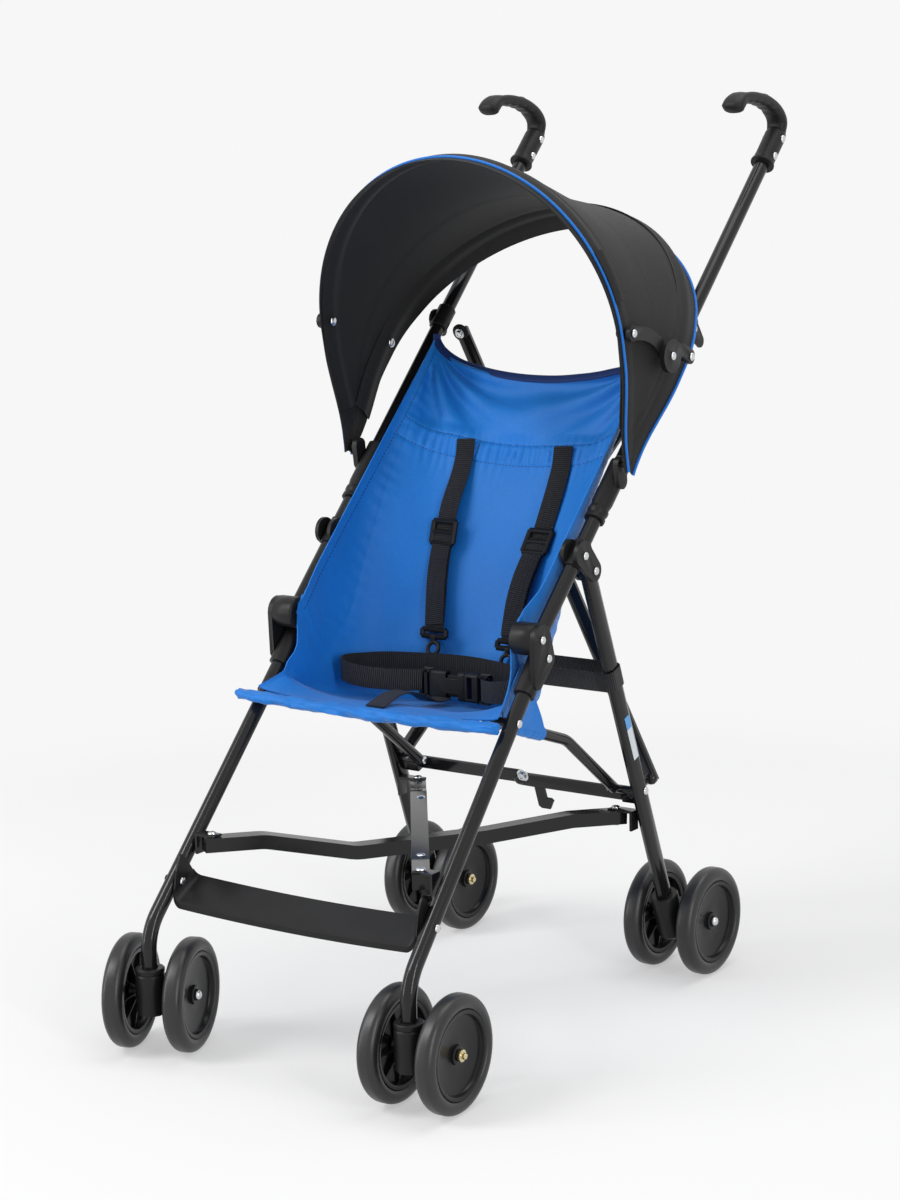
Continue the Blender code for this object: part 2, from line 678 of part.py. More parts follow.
def rear_bracket(side, sign, finishes):
    """Two plates and a sleeve on the handle tube, holding the rear leg's top pivot."""
    outline = hull_outline([(on_handle(REAR_BRACKET_ALONG - 0.001, -0.0055), 0.0155), (REAR_PIVOT, 0.0122)])
    leg_half = REAR_LEG_THICKNESS / 2 + GAP
    outer = (REAR_LEG_TOP_X + leg_half, REAR_LEG_TOP_X + leg_half + REAR_BRACKET_PLATE)
    inner = (REAR_LEG_TOP_X - leg_half - REAR_BRACKET_PLATE, REAR_LEG_TOP_X - leg_half)
    shapes = []
    for low, high in (outer, inner):
        edges = sorted((sign * low, sign * high))
        shapes.append(plate(outline, *edges))
    half = REAR_SLEEVE_LENGTH / 2
    ends = [REAR_BRACKET_ALONG - half, REAR_BRACKET_ALONG + half]
    start, end = [point(sign * handle_x(s), on_handle(s)) for s in ends]
    shapes.insert(1, cylinder(start, end, REAR_SLEEVE_RADIUS))
    outward = Vector((sign, 0, 0))
    upper = on_handle(REAR_BRACKET_ALONG - 0.001, -0.0085)
    shapes += [rivet(point(sign * outer[1], p), outward) for p in (upper, REAR_PIVOT)]
    reach = (end - start) * 0.2
    cut = cylinder(start - reach, end + reach, TUBE_RADIUS + GAP)
    origin = point(sign * REAR_LEG_TOP_X, REAR_PIVOT)
    build(f"rear_leg_bracket_{side}", finishes["plastic"], origin, shapes, [cut])


def rear_leg(side, sign, finishes):
    run = (REAR_PIVOT.y - HOUSING_TOP) / -REAR_LEG_DIRECTION.y + SOCKET_DEPTH
    half = REAR_LEG_THICKNESS / 2
    ends = (sign * (REAR_LEG_TOP_X - half), sign * (REAR_LEG_TOP_X + half))
    radius = REAR_LEG_DEPTH / 2 - 0.0002
    cap = cylinder(point(min(ends), REAR_PIVOT), point(max(ends), REAR_PIVOT), radius, BARREL_STEPS)
    mouth = run - SOCKET_DEPTH
    path = [point(sign * REAR_LEG_TOP_X, REAR_PIVOT),
            point(sign * STEM_X, REAR_PIVOT + REAR_LEG_DIRECTION * mouth),
            point(sign * STEM_X, REAR_PIVOT + REAR_LEG_DIRECTION * run)]
    tube = sweep(path, flat_oval(REAR_LEG_DEPTH, REAR_LEG_THICKNESS), point(0, REAR_LEG_BEHIND))
    outward = Vector((sign, 0, 0))
    x = rear_leg_x(REAR_JOINT_RUN) + half - 0.0004
    head = rivet(point(sign * x, REAR_JOINT + REAR_LEG_BEHIND * 0.003), outward)
    block = strut_block(sign, -1 if side == "left" else 1)
    ball = cross_tube_ends(sign)[0]
    leg_middle = point(ball.x, REAR_JOINT + REAR_LEG_BEHIND * (REAR_LEG_DEPTH / 2 - 0.003))
    stud_end = ball + (leg_middle - ball).normalized() * (CROSS_TUBE_BALL + GAP)
    stud = cylinder(leg_middle, stud_end, CROSS_TUBE_STUD, 8)
    shapes = [tube, cap, head, block, stud]
    build(f"rear_leg_{side}", finishes["steel"], point(sign * REAR_LEG_TOP_X, REAR_PIVOT), shapes)


def seat_rail(side, sign, finishes):
    """Bent rail from the front leg's spacer to the rear leg."""
    x = sign * RAIL_X
    corners = [point(x, RAIL_FRONT), Vector((x, RAIL_BEND_Y, RAIL_BEND_Z)), point(x, REAR_JOINT)]
    tube = sweep(rounded(corners, RAIL_BEND_RADIUS, 4), circle(RAIL_RADIUS), Vector((1, 0, 0)))
    rear_face = rear_leg_x(REAR_JOINT_RUN) - REAR_LEG_THICKNESS / 2 - GAP
    rear_pin = cylinder(point(x, REAR_JOINT), point(sign * rear_face, REAR_JOINT), RAIL_PIN_RADIUS, 8)
    inward = Vector((-sign, 0, 0))
    face = sign * (RAIL_X - RAIL_RADIUS + 0.0006)
    heads = [rivet(point(face, p), inward) for p in (RAIL_FRONT, REAR_JOINT)]
    build(f"seat_rail_{side}", finishes["steel"], point(x, REAR_JOINT), [tube, rear_pin] + heads)


# Cross members


def cross_tube_ends(sign):
    """Pivot on the rear leg, free upper end, and the direction square behind both."""
    top = TOP_BRACKET - HANDLE_AHEAD * CROSS_TUBE_TOP_STANDOFF
    bottom = REAR_JOINT + REAR_LEG_BEHIND * CROSS_TUBE_LOW_STANDOFF
    run = (top - bottom).normalized()
    behind = Vector((run.y, -run.x))
    shift = behind * CROSS_TUBE_SPACING * sign
    low = point(sign * (rear_leg_x(REAR_JOINT_RUN) - CROSS_TUBE_INSET), bottom + shift)
    return low, point(-sign * (HANDLE_TOP_X - 0.016), top + shift), point(0, behind)


def cross_tubes(finishes):
    """Two flat oval tubes that cross behind the seat, from a handle tube to the opposite rear leg."""
    for side, sign in (("left", 1), ("right", -1)):
        low, high, normal = cross_tube_ends(sign)
        way = (high - low).normalized()
        section = flat_oval(CROSS_TUBE_WIDTH, CROSS_TUBE_THICKNESS, 3)
        across = way.cross(normal).normalized()
        tube = sweep([low - way * 0.0045, high + way * 0.0060], section, across)
        half = CROSS_TUBE_THICKNESS / 2 - 0.0004
        ball = turned(low, normal, arc_profile(CROSS_TUBE_BALL), 10)
        shapes = [tube, ball, rivet(high + normal * half, normal)]
        build(f"cross_tube_{side}", finishes["steel"], low, shapes)


def top_brackets(side, sign, finishes):
    """Clamp on the handle tube that holds the upper end of a cross tube."""
    half = TOP_BRACKET_LENGTH / 2
    ends = [TOP_BRACKET_ALONG - half, TOP_BRACKET_ALONG + half]
    start, end = [point(sign * handle_x(s), on_handle(s)) for s in ends]
    x = handle_x(TOP_BRACKET_ALONG)
    ear_high = x + TOP_BRACKET_RADIUS
    ear = hull_outline([(TOP_BRACKET, 0.0115), (TOP_BRACKET - HANDLE_AHEAD * TOP_BRACKET_EAR, 0.0075)], 14)
    edges = sorted((sign * (ear_high - 0.0035), sign * ear_high))
    head = rivet(point(sign * ear_high, TOP_BRACKET), Vector((sign, 0, 0)))
    reach = (end - start) * 0.2
    cut = cylinder(start - reach, end + reach, TUBE_RADIUS + GAP)
    shapes = [cylinder(start, end, TOP_BRACKET_RADIUS - 0.0012), plate(ear, *edges), head]
    build(f"top_bracket_{side}", finishes["plastic"], point(sign * x, TOP_BRACKET), shapes, [cut])


def cross_bars(finishes):
    """Two joggled bars that cross under the seat, from a front leg to the opposite rear leg."""
    for side, sign, middle in (("left", 1, CROSS_BAR_LOW_Z), ("right", -1, CROSS_BAR_HIGH_Z)):
        rear = Vector((sign * CROSS_BAR_END_X, CROSS_BAR_REAR_Y, CROSS_BAR_REAR_Z))
        front = Vector((-sign * CROSS_BAR_END_X, CROSS_BAR_FRONT_Y, CROSS_BAR_FRONT_Z))
        flat = Vector((front.x - rear.x, front.y - rear.y, 0)).normalized()
        length = (front - rear).length

        def along(share):
            return rear + (front - rear) * share

        corners = [rear - flat * 0.010, along(0.12)]
        for share in (0.34, 0.66):
            knee = along(share)
            corners.append(Vector((knee.x, knee.y, middle)))
        corners += [along(0.88), front + flat * 0.010]
        across = flat.cross(Vector((0, 0, 1)))
        bar_section = box_section(CROSS_BAR_WIDTH, CROSS_BAR_HEIGHT)
        bar = sweep(rounded(corners, length * 0.12, 2), bar_section, across)
        shapes = [bar]
        top = CROSS_BAR_HEIGHT / 2
        front_along = (CROSS_BAR_FRONT_Z + 0.0120 - LEG_CORNER_Z) / LEG_DIRECTION.y
        rear_face = rear_leg_x(REAR_JOINT_RUN) - REAR_LEG_THICKNESS / 2 - GAP - 0.0003
        front_face = leg_x(front_along) - TUBE_RADIUS - CROSS_BAR_SWING
        for end, limit in ((rear, sign * rear_face), (front, -sign * front_face)):
            lug = Vector((end.x, end.y, end.z + top + 0.0010))
            tip = Vector((limit, end.y, lug.z))
            root = lug - (tip - lug).normalized() * 0.007
            shapes.append(sweep([root, tip], box_section(CROSS_LUG_DEPTH, 0.0026), Vector((0, 1, 0))))
            x = limit - math.copysign(CROSS_LUG_THICKNESS / 2, limit)
            drop = [Vector((x, end.y, lug.z + 0.001)), Vector((x, end.y, lug.z - 0.022))]
            section = box_section(CROSS_LUG_THICKNESS, CROSS_LUG_DEPTH)
            shapes.append(sweep(drop, section, Vector((1, 0, 0))))
            shapes.append(rivet(lug + Vector((0, 0, 0.0010)), Vector((0, 0, 1)), 0.0052, 0.0026))
            shapes.append(rivet(Vector((end.x, end.y, end.z - top + 0.0004)), Vector((0, 0, -1))))
        build(f"cross_bar_{side}", finishes["steel"], rear, shapes)


def strut_frame():
    """Middle of the strut, and the directions down the leg and square behind it."""
    middle = REAR_JOINT + REAR_LEG_BEHIND * STRUT_STANDOFF + REAR_LEG_DIRECTION * STRUT_DROP
    return point(0, middle), point(0, REAR_LEG_DIRECTION), point(0, REAR_LEG_BEHIND)


def strut_plate(outline, depth, thickness):
    """A plate square to the leg's rear face, from an outline of (x, drop) points."""
    middle, down, behind = strut_frame()
    size = len(outline)
    points = []
    for way in (-1, 1):
        face = middle + behind * (depth + way * thickness / 2)
        points += [face + Vector((x, 0, 0)) + down * drop for x, drop in outline]
    faces = [tuple(range(size)), tuple(reversed(range(size, 2 * size)))]
    faces += [(i, i + size, (i + 1) % size + size, (i + 1) % size) for i in range(size)]
    return points, faces


def strut_block(sign, layer):
    """Lug on the rear leg's inner face that the link turns on, in front of the link's plate."""
    back = layer * (STRUT_THICKNESS / 2 + GAP) - STRUT_THICKNESS / 2 - GAP
    front = REAR_LEG_THICKNESS / 2 - STRUT_STANDOFF - 0.0052
    half = STRUT_BLOCK_HEIGHT / 2
    inner = STRUT_PIVOT_X - STRUT_BLOCK_REACH
    outer = rear_leg_x(REAR_JOINT_RUN)
    outline = [(sign * inner, -half), (sign * outer, -half), (sign * outer, half), (sign * inner, half)]
    return strut_plate(outline, (front + back) / 2, back - front)


def lock_strut(finishes):
    """Two links with a knee bolt, straight when the stroller is locked open."""
    middle, down, behind = strut_frame()
    half = STRUT_HEIGHT / 2
    for side, sign, layer in (("left", 1, -1), ("right", -1, 1)):
        outline = []
        for centre, way in ((STRUT_PIVOT_X, 1), (0.0, -1)):
            for i in range(7):
                a = math.pi * (i / 6 - 0.5)
                outline.append((sign * (centre + way * half * math.cos(a)), way * half * math.sin(a)))
        depth = layer * (STRUT_THICKNESS / 2 + GAP)
        shapes = [strut_plate(outline, depth, STRUT_THICKNESS)]
        if side == "left":
            head = middle + behind * (depth - STRUT_THICKNESS / 2)
            profile = [(0, -0.0005), (STRUT_BOLT_RADIUS, -0.0005), (STRUT_BOLT_RADIUS, 0.0018),
                       (STRUT_BOLT_RADIUS * 0.6, 0.0044), (0, 0.0050)]
            shapes.append(turned(head, -behind, profile, 10))
            drop = half + STRUT_TAB_DROP
            tab = [(0.018, 0.0), (0.032, 0.0), (0.032, drop * 0.60), (0.038, drop * 0.60)]
            tab += [(0.041, drop * 0.68), (0.034, drop), (0.022, drop), (0.018, drop * 0.92)]
            shapes.append(strut_plate(tab, depth, STRUT_THICKNESS - 0.0008))
        place = middle + Vector((sign * STRUT_PIVOT_X, 0, 0)) + behind * depth
        build(f"lock_link_{side}", finishes["steel"], place, shapes)


def foot_rest(finishes):
    """Flexible tread between the front legs with an upright ear riveted to each leg."""
    pin = on_leg(FOOT_REST_ALONG)
    ear_x = leg_x(FOOT_REST_ALONG + 0.025) - TUBE_RADIUS - GAP
    front = pin - Vector((FOOT_REST_FRONT, FOOT_REST_FALL))
    back = front + turned_by(FOOT_REST_SLOPE) * FOOT_REST_DEPTH
    t = FOOT_REST_THICKNESS
    under = left_of(turned_by(FOOT_REST_SLOPE)) * -t
    lip = front + turned_by(FOOT_REST_SLOPE) * 0.004
    tread = [front, front + under * 2.2, lip + under * 2.2, lip + under, back + under, back]
    shapes = [plate(tread, -ear_x + t, ear_x - t)]
    upper = pin + Vector((FOOT_REST_EAR / 7, FOOT_REST_EAR * 10 / 7))
    lobes = [(upper, FOOT_REST_EAR * 4 / 7), (pin + Vector((FOOT_REST_EAR * 2 / 7, 0)), FOOT_REST_EAR)]
    for corner, ahead in ((front, 0.006), (back, -0.008)):
        lobes.append((corner + Vector((ahead, 0.004)), 0.0065))
    ear = hull_outline(lobes, 18)
    for sign in (1, -1):
        edges = sorted((sign * (ear_x - t - 0.0005), sign * ear_x))
        shapes.append(plate(ear, *edges))
        shapes.append(rivet(point(sign * (ear_x - t - 0.0005), pin), Vector((-sign, 0, 0))))
    build("foot_rest", finishes["plastic"], point(0, pin), shapes)


# Canopy


def hoop_point(share, shoulder, height, half_width, start=0.0):
    """(x, reach) of a hoop at a share of its length from 0, at the left clip, to 1, at the right."""
    straight = shoulder - start
    arch = math.pi * (half_width + height) / 2
    place = share * (2 * straight + arch)
    if place < straight:
        return half_width, start + place
    if place > straight + arch:
        return -half_width, start + (2 * straight + arch - place)
    a = (place - straight) / arch * math.pi
    return half_width * math.cos(a), shoulder + height * math.sin(a)


def on_fan(x, reach, angle):
    """A point at a reach from the clip pins, at this angle about them."""
    return point(x, CLIP + turned_by(angle) * reach)


def gathered(x, reach, inner_x):
    """Brings a hoop or the cloth in from its full width to its own layer on the clip's pin."""
    share = max(0.0, min(1.0, (reach - 0.018) / 0.100))
    keep = share * share * (3 - 2 * share)
    return math.copysign(inner_x + (abs(x) - inner_x) * keep, x)


def hoop_path(angle, height, layer, inset, start, steps):
    path = []
    for i in range(steps + 1):
        x, reach = hoop_point(i / steps, HOOP_SHOULDER, height - inset, HOOP_HALF_WIDTH - inset, start)
        path.append(on_fan(gathered(x, reach, layer), reach, angle))
    return path


def canopy_hoops(finishes):
    """Two flat strips bent over the child. Their ends turn on the clips' pins, side by side."""
    first_layer = PIN_LAYER_START + HOOP_THICKNESS / 2
    ends = {"front": first_layer, "rear": first_layer + HOOP_THICKNESS + GAP}
    kinds = {"front": (HOOP_FRONT_ANGLE, HOOP_HEIGHT_FRONT), "rear": (HOOP_REAR_ANGLE, HOOP_HEIGHT_REAR)}
    paths = {name: hoop_path(*kinds[name], ends[name], HOOP_INSET, 0.002, 24) for name in kinds}
    for name, other in (("front", "rear"), ("rear", "front")):
        angle = kinds[name][0]
        tangent = point(0, left_of(turned_by(angle)))
        toward = 1 if name == "front" else -1
        across = []
        for here, there in zip(paths[name], paths[other]):
            chord = Vector((0, here.y - there.y, here.z - there.z)).normalized() * toward
            across.append((chord + tangent).normalized())
        section = box_section(HOOP_WIDTH, HOOP_THICKNESS)
        shapes = [sweep(paths[name], section, across)]
        cuts = []
        for sign in (1, -1):
            low, high = ends[name] - HOOP_THICKNESS / 2, ends[name] + HOOP_THICKNESS / 2
            eye = hull_outline([(CLIP, HOOP_EYE_RADIUS)], 12)
            shapes.append(plate(eye, *sorted((sign * low, sign * high))))
            bore_start, bore_end = point(sign * (low - 0.001), CLIP), point(sign * (high + 0.001), CLIP)
            cuts.append(cylinder(bore_start, bore_end, PIN_RADIUS + GAP, 10))
        build(f"canopy_hoop_{name}", finishes["plastic"], point(0, CLIP), shapes, cuts)


def canopy_cloth(finishes):
    """Cloth stretched from the front edge over both hoops to the rear edge, open below."""
    layer = PIN_LAYER_START + 2 * HOOP_THICKNESS + GAP + 0.0006 + CANOPY_THICKNESS / 2
    steps = 28
    front = hoop_path(HOOP_FRONT_ANGLE, HOOP_HEIGHT_FRONT, layer, 0, CANOPY_START, steps)
    rear = hoop_path(HOOP_REAR_ANGLE, HOOP_HEIGHT_REAR, layer, 0, CANOPY_START, steps)

    def edge(path, angle, edge_angle):
        row = []
        for here in path:
            reach = (Vector((here.y, here.z)) - CLIP).dot(turned_by(angle))
            turn = edge_angle - angle
            offset = math.copysign(math.hypot(max(reach, 0) * turn, CANOPY_EDGE_MARGIN), turn)
            row.append(here + point(0, left_of(turned_by(angle))) * offset)
        return row

    rows = [edge(front, HOOP_FRONT_ANGLE, CANOPY_FRONT_ANGLE), front]
    for share in (0.2, 0.4, 0.6, 0.8):
        row = []
        for i, (a, b) in enumerate(zip(front, rear)):
            here = a.lerp(b, share)
            inward = point(0, CLIP) - point(0, (here.y, here.z))
            sag = CANOPY_SAG * math.sin(math.pi * share) ** 2 * math.sin(math.pi * i / steps) ** 2
            row.append(here + inward.normalized() * sag)
        rows.append(row)
    rows += [rear, edge(rear, HOOP_REAR_ANGLE, CANOPY_REAR_ANGLE)]
    build("canopy", finishes["canopy"], point(0, CLIP), [sheet(rows, CANOPY_THICKNESS, 1)])


def canopy_clip(side, sign, finishes):
    """Clip on the handle tube with a forward arm that carries the hoops' pin."""
    start, end = [point(sign * handle_x(s), on_handle(s)) for s in (CLIP_BODY_START, CLIP_ALONG + 0.0130)]
    length = (end - start).length
    waist = CLIP_BODY_RADIUS - 0.0012
    profile = [(0, 0)]
    for low in (0.0, 0.010):
        profile += [(CLIP_BODY_RADIUS, low), (CLIP_BODY_RADIUS, low + 0.004)]
        profile += [(waist, low + 0.005), (waist, low + 0.007)]
    profile += [(CLIP_BODY_RADIUS, 0.0245), (CLIP_BODY_RADIUS, length), (0, length)]
    high = PIN_LAYER_START - GAP
    arm = hull_outline([(CLIP, 0.0095), (on_handle(CLIP_ALONG - 0.012, -0.009), 0.0090)], 14)
    edges = sorted((sign * (high - CLIP_ARM_THICKNESS), sign * high))
    pin_end = PIN_LAYER_START + 2 * HOOP_THICKNESS + GAP
    pin = cylinder(point(sign * (high - 0.004), CLIP), point(sign * pin_end, CLIP), PIN_RADIUS, 10)
    shapes = [turned(start, end - start, profile), plate(arm, *edges), pin]
    reach = (end - start) * 0.2
    cut = cylinder(start - reach, end + reach, TUBE_RADIUS + GAP)
    build(f"canopy_clip_{side}", finishes["plastic"], point(sign * PIN_LAYER_START, CLIP), shapes, [cut])


def arm_points():
    """Front rivet, knee and rear rivet of a canopy stay, as (y, z)."""
    front = CLIP + turned_by(HOOP_FRONT_ANGLE) * ARM_REACH_FRONT
    rear = CLIP + turned_by(HOOP_REAR_ANGLE) * ARM_REACH_REAR
    return front, on_handle(ARM_KNEE_ALONG, ARM_KNEE_OFFSET), rear


def curved_arm(start, end, bow, x_low, x_high, end_radius, steps=7):
    """A flat arm along a shallow curve, widened round its far end."""
    chord = end - start
    side = left_of(chord.normalized())
    centre = []
    for i in range(steps + 1):
        centre.append(start + chord * (i / steps) + side * bow * math.sin(math.pi * i / steps))
    half = ARM_WIDTH / 2
    upper, lower = [], []
    for i, here in enumerate(centre):
        way = (centre[min(i + 1, steps)] - centre[max(i - 1, 0)]).normalized()
        upper.append(here + left_of(way) * half)
        lower.append(here - left_of(way) * half)
    body = plate(upper + lower[::-1], x_low, x_high)
    return [body, plate(hull_outline([(start, end_radius)], 14), x_low + 0.0003, x_high - 0.0003)]


def canopy_stays(side, sign, finishes):
    """Two arms that meet at a disc and hold the hoops apart."""
    front, knee, rear = arm_points()
    outer = ARM_X + ARM_THICKNESS
    disc_face = outer + ARM_DISC_THICKNESS
    cloth_face = HOOP_HALF_WIDTH + CANOPY_THICKNESS / 2 + GAP
    outward = Vector((sign, 0, 0))

    def rod(flat, first, last, radius, steps=CIRCLE_STEPS):
        return cylinder(point(sign * first, flat), point(sign * last, flat), radius, steps)

    near = sorted((sign * ARM_X, sign * outer))
    shapes = curved_arm(front, knee, 0.0090, near[0], near[1], 0.0090)
    shapes.append(rod(front, cloth_face, ARM_X + 0.001, ARM_SPACER_RADIUS))
    shapes.append(rivet(point(sign * outer, front), outward))
    bore = rod(knee, ARM_X - 0.004, outer + 0.004, ARM_PIN_RADIUS + 0.0004, 10)
    build(f"stay_arm_front_{side}", finishes["plastic"], point(sign * ARM_X, front), shapes, [bore])
    far = sorted((sign * (outer + GAP), sign * (outer + ARM_THICKNESS)))
    disc_faces = sorted((sign * (outer + GAP), sign * disc_face))
    shapes = [plate(hull_outline([(knee, ARM_DISC_RADIUS)], 18), *disc_faces)]
    shapes += curved_arm(rear, knee, -0.0070, far[0], far[1], 0.0085)
    shapes.append(rod(rear, cloth_face, outer + 0.001, ARM_SPACER_RADIUS))
    shapes.append(rod(knee, ARM_X - 0.0005, outer + 0.002, ARM_PIN_RADIUS, 10))
    shapes.append(rivet(point(sign * disc_face, knee), outward))
    shapes.append(rivet(point(sign * (outer + ARM_THICKNESS), rear), outward))
    build(f"stay_arm_rear_{side}", finishes["plastic"], point(sign * ARM_X, knee), shapes)


# Seat and harness


def between(stops, share):
    """The values at this share of the way, from stops of (share, value, value, ...)."""
    for low, high in zip(stops, stops[1:]):
        if share <= high[0]:
            part = (share - low[0]) / (high[0] - low[0])
            return [a + (b - a) * part for a, b in zip(low[1:], high[1:])]
    return list(stops[-1][1:])


# Edge of the sling as (share, y, z, half width): down the handle tube, inside the fold pivot,
# down the front leg and round in front of it
SEAT_EDGE = (
    (0.00, *on_handle(SEAT_TOP_ALONG, SEAT_EDGE_AHEAD), SEAT_HALF_WIDTH),
    (0.58, *on_handle(SEAT_LEAVE_ALONG, SEAT_EDGE_AHEAD + SEAT_PASS_AHEAD / 2), SEAT_HALF_WIDTH),
    (0.64, *on_handle(SEAT_PASS_ALONG, SEAT_EDGE_AHEAD + SEAT_MEET_AHEAD), SEAT_PIVOT_HALF_WIDTH),
    (0.70, *on_handle(-SEAT_PASS_LOW, SEAT_EDGE_AHEAD + SEAT_MEET_AHEAD), SEAT_PIVOT_HALF_WIDTH),
    (0.75, *on_leg(LEG_RUN - SEAT_MEET_SHORT, SEAT_MEET_AHEAD), SEAT_PIVOT_HALF_WIDTH),
    (0.80, *on_leg(LEG_RUN - SEAT_MEET_LOW, SEAT_MEET_AHEAD), SEAT_LEG_HALF_WIDTH),
    (0.93, *on_leg(RAIL_FRONT_ALONG + SEAT_MEET_SHORT, SEAT_PASS_AHEAD), SEAT_LEG_HALF_WIDTH),
    (1.00, SEAT_FRONT_Y + SEAT_ROLL_RADIUS / 2, SEAT_FRONT_Z + SEAT_FRONT_RISE, SEAT_FRONT_HALF_WIDTH),
)


def seat_middle(share, out, up):
    """A stop of the middle line: out as a share of the top's Y, up from the crease to the top."""
    return share, SEAT_TOP_Y * out, SEAT_CREASE_Z + (SEAT_TOP_Z - SEAT_CREASE_Z) * up


# Middle line of the sling as (share, y, z): down the back, round the crease and forward
SEAT_MIDDLE = (
    seat_middle(0.00, 1.0, 1.0),
    seat_middle(0.20, 0.7014, 0.7865),
    seat_middle(0.42, 0.2917, 0.4298),
    seat_middle(0.60, -0.0069, 0.1573),
    seat_middle(0.68, -0.0833, 0.0365),
    seat_middle(0.74, -0.2639, 0.0),
    seat_middle(0.85, -0.7361, 0.0253),
    seat_middle(0.93, -1.1111, 0.0669),
    (1.00, SEAT_FRONT_Y + SEAT_ROLL_RADIUS / 2, SEAT_FRONT_Z),
)


def sling_squareness(share):
    """Exponents of the sling's section, in Y and in Z: a shallow curve above, a pocket below."""
    low = max(0.0, min(1.0, (share - 0.35) / 0.35))
    front = max(0.0, min(1.0, (share - 0.78) / 0.15))
    return 2.0 + 0.4 * low, 2.0 + 3.0 * low - 2.8 * front


def on_sling(x, share, ahead=0.0):
    """A point on the sling at this X and share of its length, or ahead of its face."""
    edge_y, edge_z, half = between(SEAT_EDGE, share)
    middle_y, middle_z = between(SEAT_MIDDLE, share)
    wide = min(1.0, abs(x) / half)
    lift_y, lift_z = [1 - (1 - wide ** n) ** (1 / n) for n in sling_squareness(share)]
    flat = Vector((middle_y + (edge_y - middle_y) * lift_y, middle_z + (edge_z - middle_z) * lift_z))
    return point(x, flat + HANDLE_AHEAD * ahead)


def seat_rows(rows, columns):
    grid = []
    for i in range(rows + 1):
        share = i / rows
        half = between(SEAT_EDGE, share)[2]
        square = sling_squareness(share)[1]
        row = []
        for j in range(columns + 1):
            place = 2 * j / columns - 1
            a = math.pi / 2 * abs(place)
            x = half * math.copysign(math.sin(a) ** (2 / square), place)
            fold = 0.0030 * math.sin(9 * abs(place) + 6 * share) * (1 - abs(place)) * abs(place) * 4
            gather = 0.0016 * math.sin(place * 40) * math.exp(-((share - 0.22) / 0.03) ** 2)
            row.append(on_sling(x, share, (fold * math.exp(-share / 0.35) + gather) * math.cos(a)))
        grid.append(row)
    return grid


def seat(finishes):
    rows = seat_rows(22, 16)
    cloth = sheet(rows, SEAT_THICKNESS, 1)
    roll_path = []
    for i in range(13):
        x = SEAT_ROLL_START + SEAT_ROLL_LENGTH * i / 12
        dip = SEAT_ROLL_DIP * math.cos(x / (SEAT_ROLL_START - SEAT_PASS_LOW) * math.pi / 2)
        y = SEAT_FRONT_Y + SEAT_ROLL_DIP * 0.4 * math.sin(i * 2.1)
        roll_path.append(Vector((x, y, SEAT_FRONT_Z - dip)))
    sizes = [0.80] + [1.0 + 0.08 * math.sin(i * 1.7) for i in range(11)] + [0.80]
    section = flat_oval(SEAT_ROLL_DEPTH, 2 * SEAT_ROLL_RADIUS - SEAT_THICKNESS, 3)
    roll = sweep(roll_path, section, Vector((0, 1, 0)), scales=sizes)
    build("seat", finishes["seat"], Vector((0, 0, SEAT_FRONT_Z)), [cloth, roll])


def strap(path, width=WEBBING_WIDTH, across=Vector((1, 0, 0)), thickness=WEBBING_THICKNESS, closed=False):
    return sweep(path, box_section(width, thickness), across, closed=closed)


def shoulder_straps(finishes):
    for side, sign in (("left", 1), ("right", -1)):
        path = []
        for i in range(9):
            t = i / 8
            x = STRAP_TOP_X + (STRAP_HOOK_X - STRAP_TOP_X) * t ** 1.6
            path.append(on_sling(sign * x, 0.205 + 0.375 * t, 0.0080 + 0.005 * t))
        slider = path[4]
        way = (path[5] - path[3]).normalized()
        across = Vector((1, 0, 0))
        section = box_section(0.0330, 0.0075, 0.0015)
        block = sweep([slider - way * 0.0150, slider + way * 0.0150], section, across)
        end = path[-1]
        down = (path[-1] - path[-2]).normalized()
        bar = sweep([end - down * 0.0030, end + down * 0.0050], box_section(0.0320, 0.0070, 0.0010), across)
        clasp = sweep([end + down * 0.004, end + down * 0.0200], box_section(0.0090, 0.0055, 0.0010), across)
        build(f"shoulder_strap_{side}", finishes["webbing"], path[0], [strap(path), block, bar, clasp])


def waist_belt(finishes):
    """Webbing that lies along the crease, loops forward on each side and ends at the buckle."""
    half = BUCKLE_LENGTH / 2
    # Stops of the left loop, as shares of the belt's half width, depth and rise
    loop = [(0.4839, 0.6962, 0.2941), (0.7258, 0.9747, 0.5882), (0.9274, 1.0, 0.8824),
            (1.0, 0.8228, 1.0), (0.9032, 0.5696, 1.0), (0.6613, 0.2278, 0.9412)]
    depth = BELT_FRONT_Y - BELT_BACK_Y
    left = []
    for wide, ahead, up in loop:
        left.append(Vector((BELT_HALF_WIDTH * wide, BELT_BACK_Y + depth * ahead, BUCKLE_Z + BELT_RISE * up)))
    right = [Vector((-p.x, p.y, p.z)) for p in reversed(left)]
    start = Vector((half + 0.0195, BUCKLE_Y, BUCKLE_Z + 0.0030))
    end = Vector((-half - 0.0020, BUCKLE_Y, BUCKLE_Z + 0.0030))
    back = Vector((0.0, BELT_BACK_Y, BUCKLE_Z + BELT_RISE * 0.9412))
    path = rounded([start] + left + [back] + right + [end], 0.012, 2)
    build("waist_belt", finishes["webbing"], path[0], [strap(path, across=Vector((0, 0, 1)))])


def crotch_strap(finishes):
    lift = Vector((0, 0, (SEAT_THICKNESS + WEBBING_THICKNESS) / 2 + GAP))
    path = [on_sling(CROTCH_STRAP_X, share) + lift * 1.7 for share in (0.92, 0.90, 0.875, 0.85, 0.825, 0.80)]
    under_buckle = BUCKLE_Z - BUCKLE_HEIGHT / 2 - GAP - WEBBING_THICKNESS / 2
    path.append(Vector((CROTCH_STRAP_X, BUCKLE_Y - 0.004, under_buckle)))
    build("crotch_strap", finishes["webbing"], path[0], [strap(path)])


